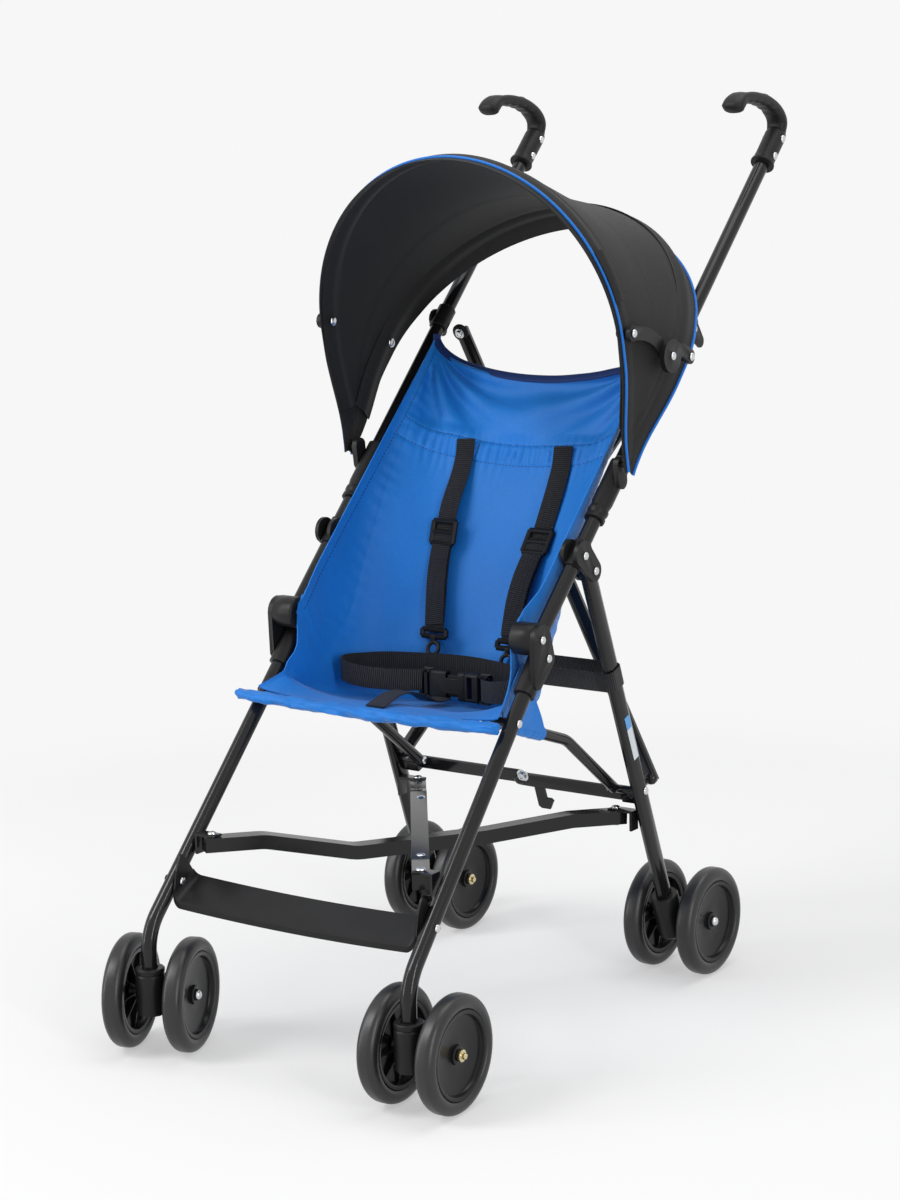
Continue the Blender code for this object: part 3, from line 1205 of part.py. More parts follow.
def buckle(finishes):
    """Side-release buckle: a housing with two side windows, and a plug that slides out."""
    middle = Vector((0, BUCKLE_Y, BUCKLE_Z))
    along = Vector((1, 0, 0))
    up = Vector((0, 0, 1))
    half = BUCKLE_LENGTH / 2
    section = box_section(BUCKLE_HEIGHT, BUCKLE_THICKNESS, 0.0020)
    body = sweep([middle - along * half, middle + along * half], section, up)
    slot = sweep([middle - along * 0.004, middle + along * (half + 0.01)],
                 box_section(BUCKLE_HEIGHT - 0.006, BUCKLE_THICKNESS - 0.004), up)
    windows = []
    for height in (0.0135, -0.0135):
        ends = [middle + Vector((-0.002, 0, height)), middle + Vector((0.014, 0, height))]
        windows.append(sweep(ends, box_section(0.009, 0.02), up))
    build("buckle_housing", finishes["plastic"], middle, [body], [slot] + windows)
    base = half + GAP
    plug = sweep([middle + along * base, middle + along * (base + 0.0180)], section, up)
    centre = middle + along * (base + 0.007)
    through = [centre - Vector((0, 0.02, 0)), centre + Vector((0, 0.02, 0))]
    opening = sweep(through, box_section(0.0060, BUCKLE_HEIGHT - 0.008), along)
    prongs = []
    for height in (-0.0095, 0.0095):
        ends = [middle + Vector((-0.002, 0, height)), middle + Vector((base + 0.003, 0, height))]
        prongs.append(sweep(ends, box_section(0.0060, BUCKLE_THICKNESS - 0.0055), up))
    build("buckle_plug", finishes["plastic"], middle + along * base, [plug] + prongs, [opening])


def back_strap(finishes):
    """Elastic band round both rear legs, behind the sling."""
    run = (REAR_PIVOT.y - BACK_STRAP_Z) / -REAR_LEG_DIRECTION.y
    centre = point(0, REAR_PIVOT + REAR_LEG_DIRECTION * run)
    behind = point(0, REAR_LEG_BEHIND)
    leg_centre = rear_leg_x(run)
    turn = REAR_LEG_THICKNESS / 2 + BACK_STRAP_THICKNESS / 2 + 0.0005
    straight = (REAR_LEG_DEPTH - REAR_LEG_THICKNESS) / 2
    quarter = [math.radians(30 * i) for i in range(4)]
    front = [(math.sin(a), -math.cos(a), -straight) for a in quarter]
    rear = [(math.cos(a), math.sin(a), straight) for a in quarter]
    radius = turn / math.cos(math.radians(15))
    side = [(leg_centre + radius * a, shift + radius * b) for a, b, shift in front + rear]
    ring = side + [(-x, y) for x, y in reversed(side)]
    path = [centre + Vector((x, 0, 0)) + behind * y for x, y in ring]
    section = box_section(BACK_STRAP_WIDTH, BACK_STRAP_THICKNESS)
    band = sweep(path, section, point(0, REAR_LEG_DIRECTION), closed=True)
    build("back_strap", finishes["webbing"], centre, [band])


def centre_on_floor():
    """Moves the whole part so that its origin is on the floor under the middle of its footprint."""
    nodes = list(bpy.context.scene.objects)
    corners = [node.location + vertex.co for node in nodes for vertex in node.data.vertices]
    low = Vector([min(p[i] for p in corners) for i in range(3)])
    high = Vector([max(p[i] for p in corners) for i in range(3)])
    shift = Vector(((low.x + high.x) / 2, (low.y + high.y) / 2, low.z))
    for node in nodes:
        node.location -= shift


def main():
    clear_scene()
    finishes = {
        "steel": material("black_steel", (0.012, 0.012, 0.013), 0.22, 0.3),
        "plastic": material("black_plastic", (0.018, 0.018, 0.019), 0.42),
        "grip": material("grip_plastic", (0.016, 0.016, 0.017), 0.55),
        "rubber": material("tyre_rubber", (0.014, 0.014, 0.015), 0.38),
        "canopy": material("canopy_cloth", (0.018, 0.018, 0.019), 0.85),
        "seat": material("seat_cloth", (0.018, 0.110, 0.480), 0.60),
        "webbing": material("webbing", (0.010, 0.010, 0.011), 0.75),
    }
    for side, sign in (("left", 1), ("right", -1)):
        front_leg(side, sign, finishes)
        knuckle(side, sign, finishes)
        handle_tube(side, sign, finishes)
        grip(side, sign, finishes)
        rear_bracket(side, sign, finishes)
        rear_leg(side, sign, finishes)
        seat_rail(side, sign, finishes)
        top_brackets(side, sign, finishes)
        canopy_clip(side, sign, finishes)
        canopy_stays(side, sign, finishes)
        front_caster(side, sign, finishes)
        rear_unit(side, sign, finishes)
    cross_tubes(finishes)
    cross_bars(finishes)
    lock_strut(finishes)
    foot_rest(finishes)
    canopy_hoops(finishes)
    canopy_cloth(finishes)
    seat(finishes)
    shoulder_straps(finishes)
    waist_belt(finishes)
    crotch_strap(finishes)
    buckle(finishes)
    back_strap(finishes)
    centre_on_floor()


main()
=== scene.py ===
"""Looks of the folding stroller: cloth, webbing, paint, plastic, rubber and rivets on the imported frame.

Metres, +Z up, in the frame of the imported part. The side frames lie in planes of constant X, so
places on them are worked out as (y, z) from the fold pivot, as the part does.
"""

import json
import math

import bmesh
import bpy
import numpy as np
from mathutils import Matrix, Vector, noise

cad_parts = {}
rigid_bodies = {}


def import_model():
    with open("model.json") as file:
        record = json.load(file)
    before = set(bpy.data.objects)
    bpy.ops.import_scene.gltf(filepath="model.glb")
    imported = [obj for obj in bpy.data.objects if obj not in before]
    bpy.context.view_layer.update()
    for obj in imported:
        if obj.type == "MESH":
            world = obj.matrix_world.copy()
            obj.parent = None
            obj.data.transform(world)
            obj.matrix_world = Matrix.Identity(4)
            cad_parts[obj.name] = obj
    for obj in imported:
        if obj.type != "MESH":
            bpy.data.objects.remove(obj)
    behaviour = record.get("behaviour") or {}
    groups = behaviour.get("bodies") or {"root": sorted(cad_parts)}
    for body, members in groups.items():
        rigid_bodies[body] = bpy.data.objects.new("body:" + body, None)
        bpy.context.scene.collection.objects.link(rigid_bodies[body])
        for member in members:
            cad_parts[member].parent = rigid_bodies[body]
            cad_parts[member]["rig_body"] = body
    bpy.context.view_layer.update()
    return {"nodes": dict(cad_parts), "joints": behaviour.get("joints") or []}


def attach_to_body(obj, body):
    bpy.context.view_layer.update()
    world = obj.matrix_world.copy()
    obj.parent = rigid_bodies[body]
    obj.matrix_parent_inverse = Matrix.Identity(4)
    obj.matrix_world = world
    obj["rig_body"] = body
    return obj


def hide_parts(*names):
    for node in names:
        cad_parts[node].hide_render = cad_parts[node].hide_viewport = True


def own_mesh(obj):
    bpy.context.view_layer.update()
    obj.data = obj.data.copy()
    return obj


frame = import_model()
NODES = frame["nodes"]
JOINTS = {joint["name"]: joint for joint in frame["joints"]}
SIDES = (("left", 1), ("right", -1))

# Sizes of the side frame
STEM_X = 0.1738
STEM_Y = -0.3897
LEG_ANGLE = math.radians(46.95)
LEG_RUN = 0.3930
LEG_TOP_X = 0.1655
PIVOT_ALONG = 0.0087
PIVOT_AHEAD = 0.0273
HANDLE_ANGLE = math.radians(44.15)
HANDLE_OFFSET = -0.0115
HANDLE_END = 0.7080
HANDLE_TOP_X = 0.1710
REAR_BRACKET_ALONG = 0.1205
REAR_PIVOT_OFFSET = -0.0375
REAR_LEG_ANGLE = math.radians(-69.9)
REAR_LEG_TOP_X = 0.1680
REAR_LEG_DEPTH = 0.0230
REAR_LEG_THICKNESS = 0.0120
RAIL_FRONT_ALONG = 0.3120
RAIL_RADIUS = 0.0065
RAIL_X = 0.1374
RAIL_BEND_Y = -0.0240
RAIL_BEND_Z = 0.3155
RAIL_BEND_RADIUS = 0.0600
RAIL_PIN_RADIUS = 0.0050
REAR_JOINT_RUN = 0.2928
TUBE_RADIUS = 0.0085
LEG_BEND_RADIUS = 0.0600
LEG_TOP_GAP = 0.0020
SOCKET_FLOOR_Z = 0.0719
HOUSING_TOP = 0.1016
BARREL_RADIUS = 0.0180
BARREL_INNER_X = 0.1470
BARREL_OUTER_X = 0.1742
HANDLE_START = 0.0020
# Bolts that the solids leave out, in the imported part's own frame
LOCK_BOLT = (0.0173, 0.0920, 0.2333)
LOCK_BOLT_WAY = (0, -0.939, -0.344)
LOCK_BOLT_RADIUS = 0.0058
BAR_BOLT_INNER = (-0.0135, -0.0740, 0.2410)
BAR_BOLT_OUTER = (0.1097, -0.2497, 0.2343)
CROSS_TOP_ALONG = 0.4480
CROSS_TOP_BEHIND = 0.0255
CROSS_TOP_INSIDE = 0.0160
CROSS_SHIFT = 0.0065
CROSS_TUBE_HALF_DEPTH = 0.0045
CROSS_BOLT_RADIUS = 0.0046
# A drawn rivet head against the CAD dome that it covers
RIVET_SPREAD = 1.12
RIVET_RISE = 0.42
# Foot rest
FOOT_REST_ALONG = 0.0650
FOOT_REST_FRONT = 0.0147
FOOT_REST_FALL = 0.0206
FOOT_REST_DEPTH = 0.0450
FOOT_REST_SLOPE = math.radians(28.0)
FOOT_REST_THICKNESS = 0.0025
FOOT_REST_BEND = 0.0110
FOOT_REST_EAR = 0.0420
FOOT_REST_SAG = 0.0035
FOOT_REST_LIP_STEP = 0.0028
FOOT_REST_CLEARANCE = 0.0017
# Grips: the bend's stops are (along, ahead) of the handle's line
GRIP_COLLAR_LENGTH = 0.0520
GRIP_HALF_WIDTH = 0.0125
GRIP_HALF_DEPTH = 0.0078
GRIP_STEPS = 64
GRIP_BEND = ((0.7560, -0.0095), (0.7645, -0.0030), (0.7670, 0.0080), (0.7640, 0.0230),
             (0.7570, 0.0390), (0.7480, 0.0530), (0.7370, 0.0670), (0.7260, 0.0780),
             (0.7160, 0.0845), (0.7060, 0.0870), (0.6960, 0.0865))
# Canopy
CLIP_ALONG = 0.2360
CLIP_OFFSET = 0.0060
PIN_LAYER_START = 0.1830
HOOP_THICKNESS = 0.0035
HOOP_HALF_WIDTH = 0.2015
HOOP_SHOULDER = 0.1400
HOOP_HEIGHT_FRONT = 0.2045
HOOP_HEIGHT_REAR = 0.2060
HOOP_FRONT_ANGLE = math.radians(98.5)
HOOP_REAR_ANGLE = math.radians(50.5)
CANOPY_FRONT_ANGLE = math.radians(102.5)
CANOPY_REAR_ANGLE = math.radians(44.5)
CANOPY_THICKNESS = 0.0014
CANOPY_SAG = 0.0080
CANOPY_START = -0.0060
CANOPY_EDGE_MARGIN = 0.0110
CANOPY_LAYER = PIN_LAYER_START + 2 * HOOP_THICKNESS + 0.0018
PIPING_RADIUS = 0.0017
ARM_REACH_FRONT = 0.1500
ARM_REACH_REAR = 0.1450
CANOPY_STEPS = 112
CANOPY_MIDDLE_ROWS = 34
CANOPY_EDGE_ROWS = 5
PIPING_LIFT = 0.0016
SLEEVE_RISE = 0.0012
SLEEVE_RISE_WIDTH = 0.010
SLEEVE_DEPTH = 0.0052
SLEEVE_BULGE = 0.0028
SLEEVE_THICKNESS = 0.0009
SLEEVE_HALF_WIDTH = 0.0165
SLEEVE_SHIFT = 0.0035
SEAM_FROM_HOOP = 0.024
SEAM_WIDTH = 0.0016
SEAM_DEPTH = 0.0007
PANEL_OVERLAP_ROWS = 3
STAY_RIVET_INSIDE = 0.0078
TAB_LIFT = 0.0042
TAB_THICKNESS = 0.0010
TAB_COLUMNS = range(23, 31)
TAB_ROWS = range(2, 7)
# Seat sling
SEAT_HALF_WIDTH = 0.1530
SEAT_PIVOT_HALF_WIDTH = 0.1450
SEAT_LEG_HALF_WIDTH = 0.1500
SEAT_FRONT_HALF_WIDTH = 0.1640
SEAT_TOP_ALONG = 0.4150
SEAT_EDGE_AHEAD = 0.0020
SEAT_THICKNESS = 0.0014
SEAT_FRONT_Y = -0.2050
SEAT_FRONT_Z = 0.3700
SLING_LENGTH = 0.590
SEAT_BACK_END = 0.70
SEAT_BASE_START = 0.655
SEAT_BASE_END = 0.995
BACK_ROWS = 230
BACK_COLUMNS = 150
BASE_ROWS = 130
BASE_COLUMNS = 130
BASE_TUCK = 0.0024
BASE_TUCK_ROWS = 20
BINDING_WIDTH = 0.0105
BINDING_THICKNESS = 0.0032
WING_X = 0.1500
RAIL_LOOP_CLEARANCE = 0.0022
RAIL_LOOP_START = 0.045
RAIL_LOOP_LENGTH = 0.062
ROLL_START_X = -0.1850
ROLL_LENGTH = 0.3525
ROLL_HALF_DEPTH = 0.0092
ROLL_HALF_HEIGHT = 0.0066
BAND_TOP = 0.196
BAND_LOW = 0.238
HEM_WIDTH = 0.012
# Webbing
WEBBING_WIDTH = 0.0250
WEBBING_THICKNESS = 0.0016
STRAP_TOP_X = 0.0690
STRAP_HOOK_X = 0.0520
STRAP_STEPS = 90
STRAP_START_SHARE = 0.205
STRAP_SHARE_LENGTH = 0.375
STRAP_LIFT = 0.0040
LOOP_START_STEP = 44
LOOP_END_STEP = 88
SLIDER_WIDTH = 0.0300
SLIDER_LENGTH = 0.0260
HOOK_HEAD_WIDTH = 0.0320
HOOK_RING_RADIUS = 0.0075
HOOK_RING_WIRE = 0.0024
CROTCH_STRAP_X = -0.0040
BELT_STOPS = ((0.0600, -0.0760, 0.3740), (0.0900, -0.0980, 0.3790), (0.1150, -0.1000, 0.3840),
              (0.1240, -0.0860, 0.3860), (0.1120, -0.0660, 0.3860), (0.0820, -0.0390, 0.3850))
BELT_BACK = (0.0, -0.0210, 0.3850)
BELT_LEFT_END = 0.0300
BELT_RIGHT_END = -0.0130
LOCK_LENGTH = 0.0150
LOCK_LEFT = 0.0245
LOCK_RIGHT = -0.0080
CROTCH_STOPS = (0.985, 0.955, 0.92, 0.885, 0.85, 0.82)
CROTCH_LIFT = 0.0032
CROTCH_RISE = 0.0150
ELASTIC_Z = 0.3810
ELASTIC_THICKNESS = 0.0014
ELASTIC_CLEARANCE = 0.0013
BUCKLE_LENGTH = 0.0460
BUCKLE_HEIGHT = 0.0330
BUCKLE_Y = -0.0520
BUCKLE_Z = 0.3690
# Wheels
WHEEL_RADIUS = 0.0635
WHEEL_WIDTH = 0.0236
TYRE_DEPTH = 0.0155
WHEEL_STEPS = 72
HUB_FACE = 0.0070
RIB_COUNT = 9
RIB_HALF_THICKNESS = 0.0008
CLIPPED_AXLES = (("front", "left"), ("rear", "right"))
# Stage and camera
BACKDROP = 0.93
FLOOR_SHADE = 0.90
FLOOR_HAZE = 0.45
FLOOR_FADE_START = 0.75
FLOOR_FADE_END = 1.5
FLOOR_HALF_SIZE = 12.0
WORLD_LIGHT = 0.50
CAMERA_PLACE = (1.8024, -2.6430, 1.0786)
CAMERA_HEADING = math.radians(34.7796)
CAMERA_TILT = math.radians(10.9548)
CAMERA_ROLL = math.radians(1.3769)
CAMERA_LENS = 85.292

ACROSS = Vector((1, 0, 0))


def turned_by(angle):
    return Vector((math.cos(angle), math.sin(angle)))


def left_of(direction):
    return Vector((-direction.y, direction.x))


def point(x, flat):
    return Vector((x, flat[0], flat[1]))


LEG_DIRECTION = turned_by(LEG_ANGLE)
HANDLE_DIRECTION = turned_by(HANDLE_ANGLE)
HANDLE_AHEAD = left_of(HANDLE_DIRECTION)
REAR_LEG_DIRECTION = turned_by(REAR_LEG_ANGLE)
REAR_LEG_BEHIND = left_of(REAR_LEG_DIRECTION)
FOLD_PLACE = JOINTS["fold"]["pos_m"]
SHIFT_X = LEG_TOP_X - FOLD_PLACE[0]
PIVOT = Vector(FOLD_PLACE[1:])
LEG_TOP = PIVOT - LEG_DIRECTION * PIVOT_ALONG - left_of(LEG_DIRECTION) * PIVOT_AHEAD
LEG_CORNER = LEG_TOP - LEG_DIRECTION * LEG_RUN
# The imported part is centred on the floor, which moves the middle of its frame to here
MIDDLE = Vector((-SHIFT_X, 0, 0))
# It also moves the depths: the sizes above are for a frame whose front legs bend at STEM_Y
CENTRING_Y = LEG_CORNER.x - STEM_Y


def on_leg(along, ahead=0.0):
    """(y, z) at this length up the front leg from its lower bend."""
    return LEG_CORNER + LEG_DIRECTION * along + left_of(LEG_DIRECTION) * ahead


def on_handle(along, ahead=HANDLE_OFFSET):
    """(y, z) at this length up the handle from the fold pivot."""
    return PIVOT + HANDLE_DIRECTION * along + HANDLE_AHEAD * ahead


REAR_PIVOT = on_handle(REAR_BRACKET_ALONG, REAR_PIVOT_OFFSET)
CLIP = on_handle(CLIP_ALONG, CLIP_OFFSET)
REAR_JOINT = REAR_PIVOT + REAR_LEG_DIRECTION * REAR_JOINT_RUN
RAIL_FRONT = on_leg(RAIL_FRONT_ALONG)
RAIL_BEND = Vector((RAIL_BEND_Y + CENTRING_Y, RAIL_BEND_Z))


def leg_x(along):
    """Distance of the front leg from the middle of the frame at this length up from its lower bend."""
    return STEM_X + (LEG_TOP_X - STEM_X) * along / LEG_RUN


def rear_leg_x(along):
    """The same for the rear leg, at this length down from its upper pivot."""
    run = (REAR_PIVOT.y - HOUSING_TOP) / -REAR_LEG_DIRECTION.y
    return REAR_LEG_TOP_X + (STEM_X - REAR_LEG_TOP_X) * along / run


def placed(points):
    """Moves points given from the middle of the frame to the part's own origin."""
    return [p + MIDDLE for p in points]


def at(x, flat):
    """A point given from the middle of the frame, moved to the part's own origin."""
    return point(x, flat) + MIDDLE


def placed_rows(rows):
    return [placed([Vector(p) for p in row]) for row in rows]


def placed_shapes(shapes):
    return [(placed(points), faces, uvs) for points, faces, uvs in shapes]


# Mesh helpers


def link(made):
    bpy.context.scene.collection.objects.link(made)
    return made


def mesh_piece(name, points, faces, finish, uvs=None, sharp=35.0):
    """A smooth-shaded mesh object. uvs holds one (u, v) in metres for each point."""
    mesh = bpy.data.meshes.new(name)
    mesh.from_pydata([tuple(p) for p in points], [], faces)
    mesh.validate()
    if uvs is not None:
        layer = mesh.uv_layers.new(name="UVMap")
        index = np.empty(len(mesh.loops), int)
        mesh.loops.foreach_get("vertex_index", index)
        layer.data.foreach_set("uv", np.asarray(uvs, np.float32)[index].ravel())
    cleaner = bmesh.new()
    cleaner.from_mesh(mesh)
    bmesh.ops.recalc_face_normals(cleaner, faces=cleaner.faces)
    cleaner.to_mesh(mesh)
    cleaner.free()
    mesh.materials.append(finish)
    mesh.shade_smooth()
    mesh.set_sharp_from_angle(angle=math.radians(sharp))
    return link(bpy.data.objects.new(name, mesh))


def attach(made, body, slot, *nodes):
    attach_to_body(made, body)
    if nodes:
        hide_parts(*nodes)
    return made


def soften_sides(made):
    """Gives a soft piece its own copy of its mesh."""
    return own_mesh(made)


def soften_canopy(made):
    return soften_sides(made)


def smooth_step(value, low, high):
    t = min(1.0, max(0.0, (value - low) / (high - low)))
    return t * t * (3 - 2 * t)


def bell(value, centre, width):
    return math.exp(-(((value - centre) / width) ** 2))


def grid_of(rows):
    return np.array([[tuple(p) for p in row] for row in rows])


def grid_normals(grid):
    normal = np.cross(np.gradient(grid, axis=0), np.gradient(grid, axis=1))
    return normal / np.maximum(np.linalg.norm(normal, axis=2, keepdims=True), 1e-12)


def rows_to_shell(name, rows, thickness, finish, toward, sharp=60.0, faces_at=None):
    """A closed shell round a grid of points. `toward` is a direction that its outer face looks to.

    faces_at may hold, for each row, how far its outer and inner faces stand from the grid.
    """
    grid = grid_of(rows)
    count, size = grid.shape[:2]
    normal = grid_normals(grid)
    if (normal.reshape(-1, 3) @ np.array(toward)).mean() < 0:
        normal = -normal
    u = np.cumsum(np.linalg.norm(np.diff(grid, axis=1, prepend=grid[:, :1]), axis=2), axis=1)
    v = np.cumsum(np.linalg.norm(np.diff(grid, axis=0, prepend=grid[:1]), axis=2), axis=0)
    u -= u[:, size // 2:size // 2 + 1]
    heights = np.array(faces_at or [(thickness / 2, -thickness / 2)] * count)[:, :, None, None]
    points = np.concatenate([grid + normal * heights[:, 0], grid + normal * heights[:, 1]]).reshape(-1, 3)
    uv = np.stack([u, v], axis=2).reshape(-1, 2)
    shift = count * size
    faces = []
    for i in range(count - 1):
        for j in range(size - 1):
            a = i * size + j
            faces.append((a, a + 1, a + 1 + size, a + size))
            faces.append((a + size + shift, a + 1 + size + shift, a + 1 + shift, a + shift))
    rim = list(range(size)) + [i * size + size - 1 for i in range(1, count)]
    rim += [(count - 1) * size + j for j in range(size - 2, -1, -1)]
    rim += [i * size for i in range(count - 2, 0, -1)]
    for a, b in zip(rim, rim[1:] + rim[:1]):
        faces.append((a, a + shift, b + shift, b))
    return mesh_piece(name, points, faces, finish, np.concatenate([uv, uv]), sharp)


def tube_faces(count, size, closed=False):
    """Faces over a run of rings, with a cap at each end unless the run is closed."""
    faces = []
    for i in range(count if closed else count - 1):
        j = (i + 1) % count
        for k in range(size):
            m = (k + 1) % size
            faces.append((i * size + k, i * size + m, j * size + m, j * size + k))
    if not closed:
        faces.append(tuple(reversed(range(size))))
        faces.append(tuple(range((count - 1) * size, count * size)))
    return faces


def sweep_points(path, section, across, scales=None, closed=False):
    """A section carried along a path. Its first coordinate points to `across`, which may be a list."""
    count = len(path)
    points, uvs = [], []
    run = 0.0
    girth = [0.0]
    for a, b in zip(section, section[1:]):
        girth.append(girth[-1] + math.dist(a, b))
    for i, here in enumerate(path):
        before = path[i - 1] if i or closed else here
        after = path[(i + 1) % count] if i + 1 < count or closed else here
        forward = (after - before).normalized()
        aim = across[i] if isinstance(across, list) else across
        side = (aim - forward * aim.dot(forward)).normalized()
        up = forward.cross(side)
        scale = scales[i] if scales else 1.0
        if i:
            run += (here - path[i - 1]).length
        for k, (a, b) in enumerate(section):
            points.append(here + side * a * scale + up * b * scale)
            uvs.append((girth[k], run))
    return points, tube_faces(count, len(section), closed), uvs


def sweep_piece(name, path, section, across, finish, scales=None, closed=False, sharp=45.0):
    points, faces, uvs = sweep_points(path, section, across, scales, closed)
    return mesh_piece(name, points, faces, finish, uvs, sharp)


def joined(name, shapes, finish, sharp=35.0):
    """One piece from several (points, faces, uvs) shapes."""
    points, faces, uvs = [], [], []
    for more, ends, texture in shapes:
        shift = len(points)
        points += list(more)
        faces += [tuple(i + shift for i in face) for face in ends]
        uvs += list(texture)
    return mesh_piece(name, points, faces, finish, uvs, sharp)


def rounded(corners, radius, steps=12):
    """The path through these corners with each inner corner turned into an arc."""
    path = [corners[0]]
    for before, corner, after in zip(corners, corners[1:], corners[2:]):
        back, ahead = (before - corner).normalized(), (after - corner).normalized()
        turn = math.pi - back.angle(ahead)
        tangent = radius * math.tan(turn / 2)
        centre = corner + (back + ahead).normalized() * (radius / math.cos(turn / 2))
        start = corner + back * tangent - centre
        axis = start.cross(corner + ahead * tangent - centre).normalized()
        path += [centre + Matrix.Rotation(turn * i / steps, 3, axis) @ start for i in range(steps + 1)]
    return path + [corners[-1]]


def circle(radius, steps=20):
    angles = [2 * math.pi * i / steps for i in range(steps)]
    return [(radius * math.cos(a), radius * math.sin(a)) for a in angles]


def flat_oval(width, height, steps=8):
    radius = height / 2
    reach = width / 2 - radius
    points = []
    for side in (1, -1):
        for i in range(steps + 1):
            a = math.pi * (i / steps - 0.5)
            points.append((side * (reach + radius * math.cos(a)), side * radius * math.sin(a)))
    return points


def run_lengths(path):
    lengths = [0.0]
    for a, b in zip(path, path[1:]):
        lengths.append(lengths[-1] + (b - a).length)
    return lengths


def find_run(lengths, goal, k):
    """The stretch that holds this length, looked for from the k-th on, and the share of it that is passed."""
    while k < len(lengths) - 2 and lengths[k + 1] < goal:
        k += 1
    return k, (goal - lengths[k]) / max(1e-9, lengths[k + 1] - lengths[k])


def smooth_path(stops, steps):
    """Evenly spread points on the smooth curve through these stops."""
    stops = [Vector(p) for p in stops]
    ends = [stops[0] * 2 - stops[1]] + stops + [stops[-1] * 2 - stops[-2]]
    fine = []
    for i in range(1, len(ends) - 2):
        p0, p1, p2, p3 = ends[i - 1:i + 3]
        for k in range(16):
            t = k / 16
            fine.append(0.5 * (2 * p1 + (p2 - p0) * t + (2 * p0 - 5 * p1 + 4 * p2 - p3) * t * t
                               + (3 * p1 - p0 - 3 * p2 + p3) * t ** 3))
    fine.append(stops[-1])
    lengths = run_lengths(fine)
    path, k = [], 0
    for i in range(steps + 1):
        k, part = find_run(lengths, lengths[-1] * i / steps, k)
        path.append(fine[k].lerp(fine[k + 1], part))
    return path


def turned_points(centre, axis, profile, steps=24):
    """Turns an open profile of (radius, height) points, closed on the axis where radius is 0."""
    axis = axis.normalized()
    side = axis.orthogonal().normalized()
    ahead = axis.cross(side)
    points, rings, uvs = [], [], []
    for radius, height in profile:
        if radius == 0:
            rings.append([len(points)] * steps)
            points.append(centre + axis * height)
            uvs.append((0.0, height))
            continue
        rings.append(list(range(len(points), len(points) + steps)))
        for i in range(steps):
            a = 2 * math.pi * i / steps
            points.append(centre + axis * height + (side * math.cos(a) + ahead * math.sin(a)) * radius)
            uvs.append((a * radius, height))
    faces = []
    loop = profile[0][0] > 0
    for first, second in zip(rings, rings[1:] + ([rings[0]] if loop else [])):
        for i in range(steps):
            j = (i + 1) % steps
            corners = tuple(dict.fromkeys([first[i], first[j], second[j], second[i]]))
            if len(corners) > 2:
                faces.append(corners)
    return points, faces, uvs


def turned_piece(name, seat, axis, outline, finish, steps=24, sharp=50):
    """One piece turned round an axis from an outline of (radius, height)."""
    return joined(name, [turned_points(seat, axis, outline, steps)], finish, sharp)


# Materials


def set_or_link(tree, socket, value):
    if isinstance(value, bpy.types.NodeSocket):
        tree.links.new(value, socket)
    else:
        socket.default_value = value


def node(tree, kind, **values):
    """A new node. An input takes a value or another node's output, and other names are its settings."""
    made = tree.nodes.new(kind)
    for name, value in values.items():
        if name in made.inputs:
            set_or_link(tree, made.inputs[name], value)
        else:
            setattr(made, name, value)
    return made


def maths(tree, operation, *values):
    """The result of a math node whose inputs are numbers or other nodes' outputs."""
    made = node(tree, "ShaderNodeMath", operation=operation)
    for socket, value in zip(made.inputs, values):
        set_or_link(tree, socket, value)
    return made.outputs["Value"]


def noise_at(tree, place, scale, detail, roughness=0.5):
    cloud = node(tree, "ShaderNodeTexNoise", Vector=place, Scale=scale, Detail=detail, Roughness=roughness)
    return cloud.outputs["Fac"]


def principled(name, colour, roughness, metallic=0.0, specular=0.5, sheen=0.0):
    made = bpy.data.materials.new(name)
    made.use_nodes = True
    shader = made.node_tree.nodes["Principled BSDF"]
    values = {"Base Color": (*colour, 1.0), "Roughness": roughness, "Metallic": metallic,
              "Specular IOR Level": specular, "Sheen Weight": sheen, "Sheen Roughness": 0.4}
    for key, value in values.items():
        shader.inputs[key].default_value = value
    return made, made.node_tree, shader


def add_bump(tree, shader, height, strength, distance):
    bump = node(tree, "ShaderNodeBump", Strength=strength, Distance=distance, Height=height)
    tree.links.new(bump.outputs["Normal"], shader.inputs["Normal"])


def shaded(tree, shader, value, low, high, colour, start=0.0, end=1.0):
    """Base colour that runs from `low` to `high` times the colour as the value goes from start to end."""
    ramp = node(tree, "ShaderNodeValToRGB", Fac=value)
    first, last = ramp.color_ramp.elements
    first.position, last.position = start, end
    first.color = (*[c * low for c in colour], 1.0)
    last.color = (*[min(1.0, c * high) for c in colour], 1.0)
    tree.links.new(ramp.outputs["Color"], shader.inputs["Base Color"])


def mottled(tree, shader, colour, spread, scale, roughness, rough_spread):
    """Colour and roughness that vary a little over the surface. Returns the coordinates and the cloud."""
    place = node(tree, "ShaderNodeTexCoord").outputs["Object"]
    cloud = noise_at(tree, place, scale, 6.0, 0.6)
    shaded(tree, shader, cloud, 1 - spread, 1 + spread, colour, 0.3, 0.7)
    span = node(tree, "ShaderNodeMapRange", Value=cloud)
    span.inputs["To Min"].default_value = roughness - rough_spread
    span.inputs["To Max"].default_value = roughness + rough_spread
    tree.links.new(span.outputs["Result"], shader.inputs["Roughness"])
    return place, cloud


def paint(name, colour, roughness):
    """Gloss powder coat with a faint orange peel."""
    made, tree, shader = principled(name, colour, roughness, specular=0.34)
    place, _ = mottled(tree, shader, colour, 0.15, 18.0, roughness, 0.03)
    add_bump(tree, shader, noise_at(tree, place, 900.0, 2.0), 0.06, 0.0002)
    return made


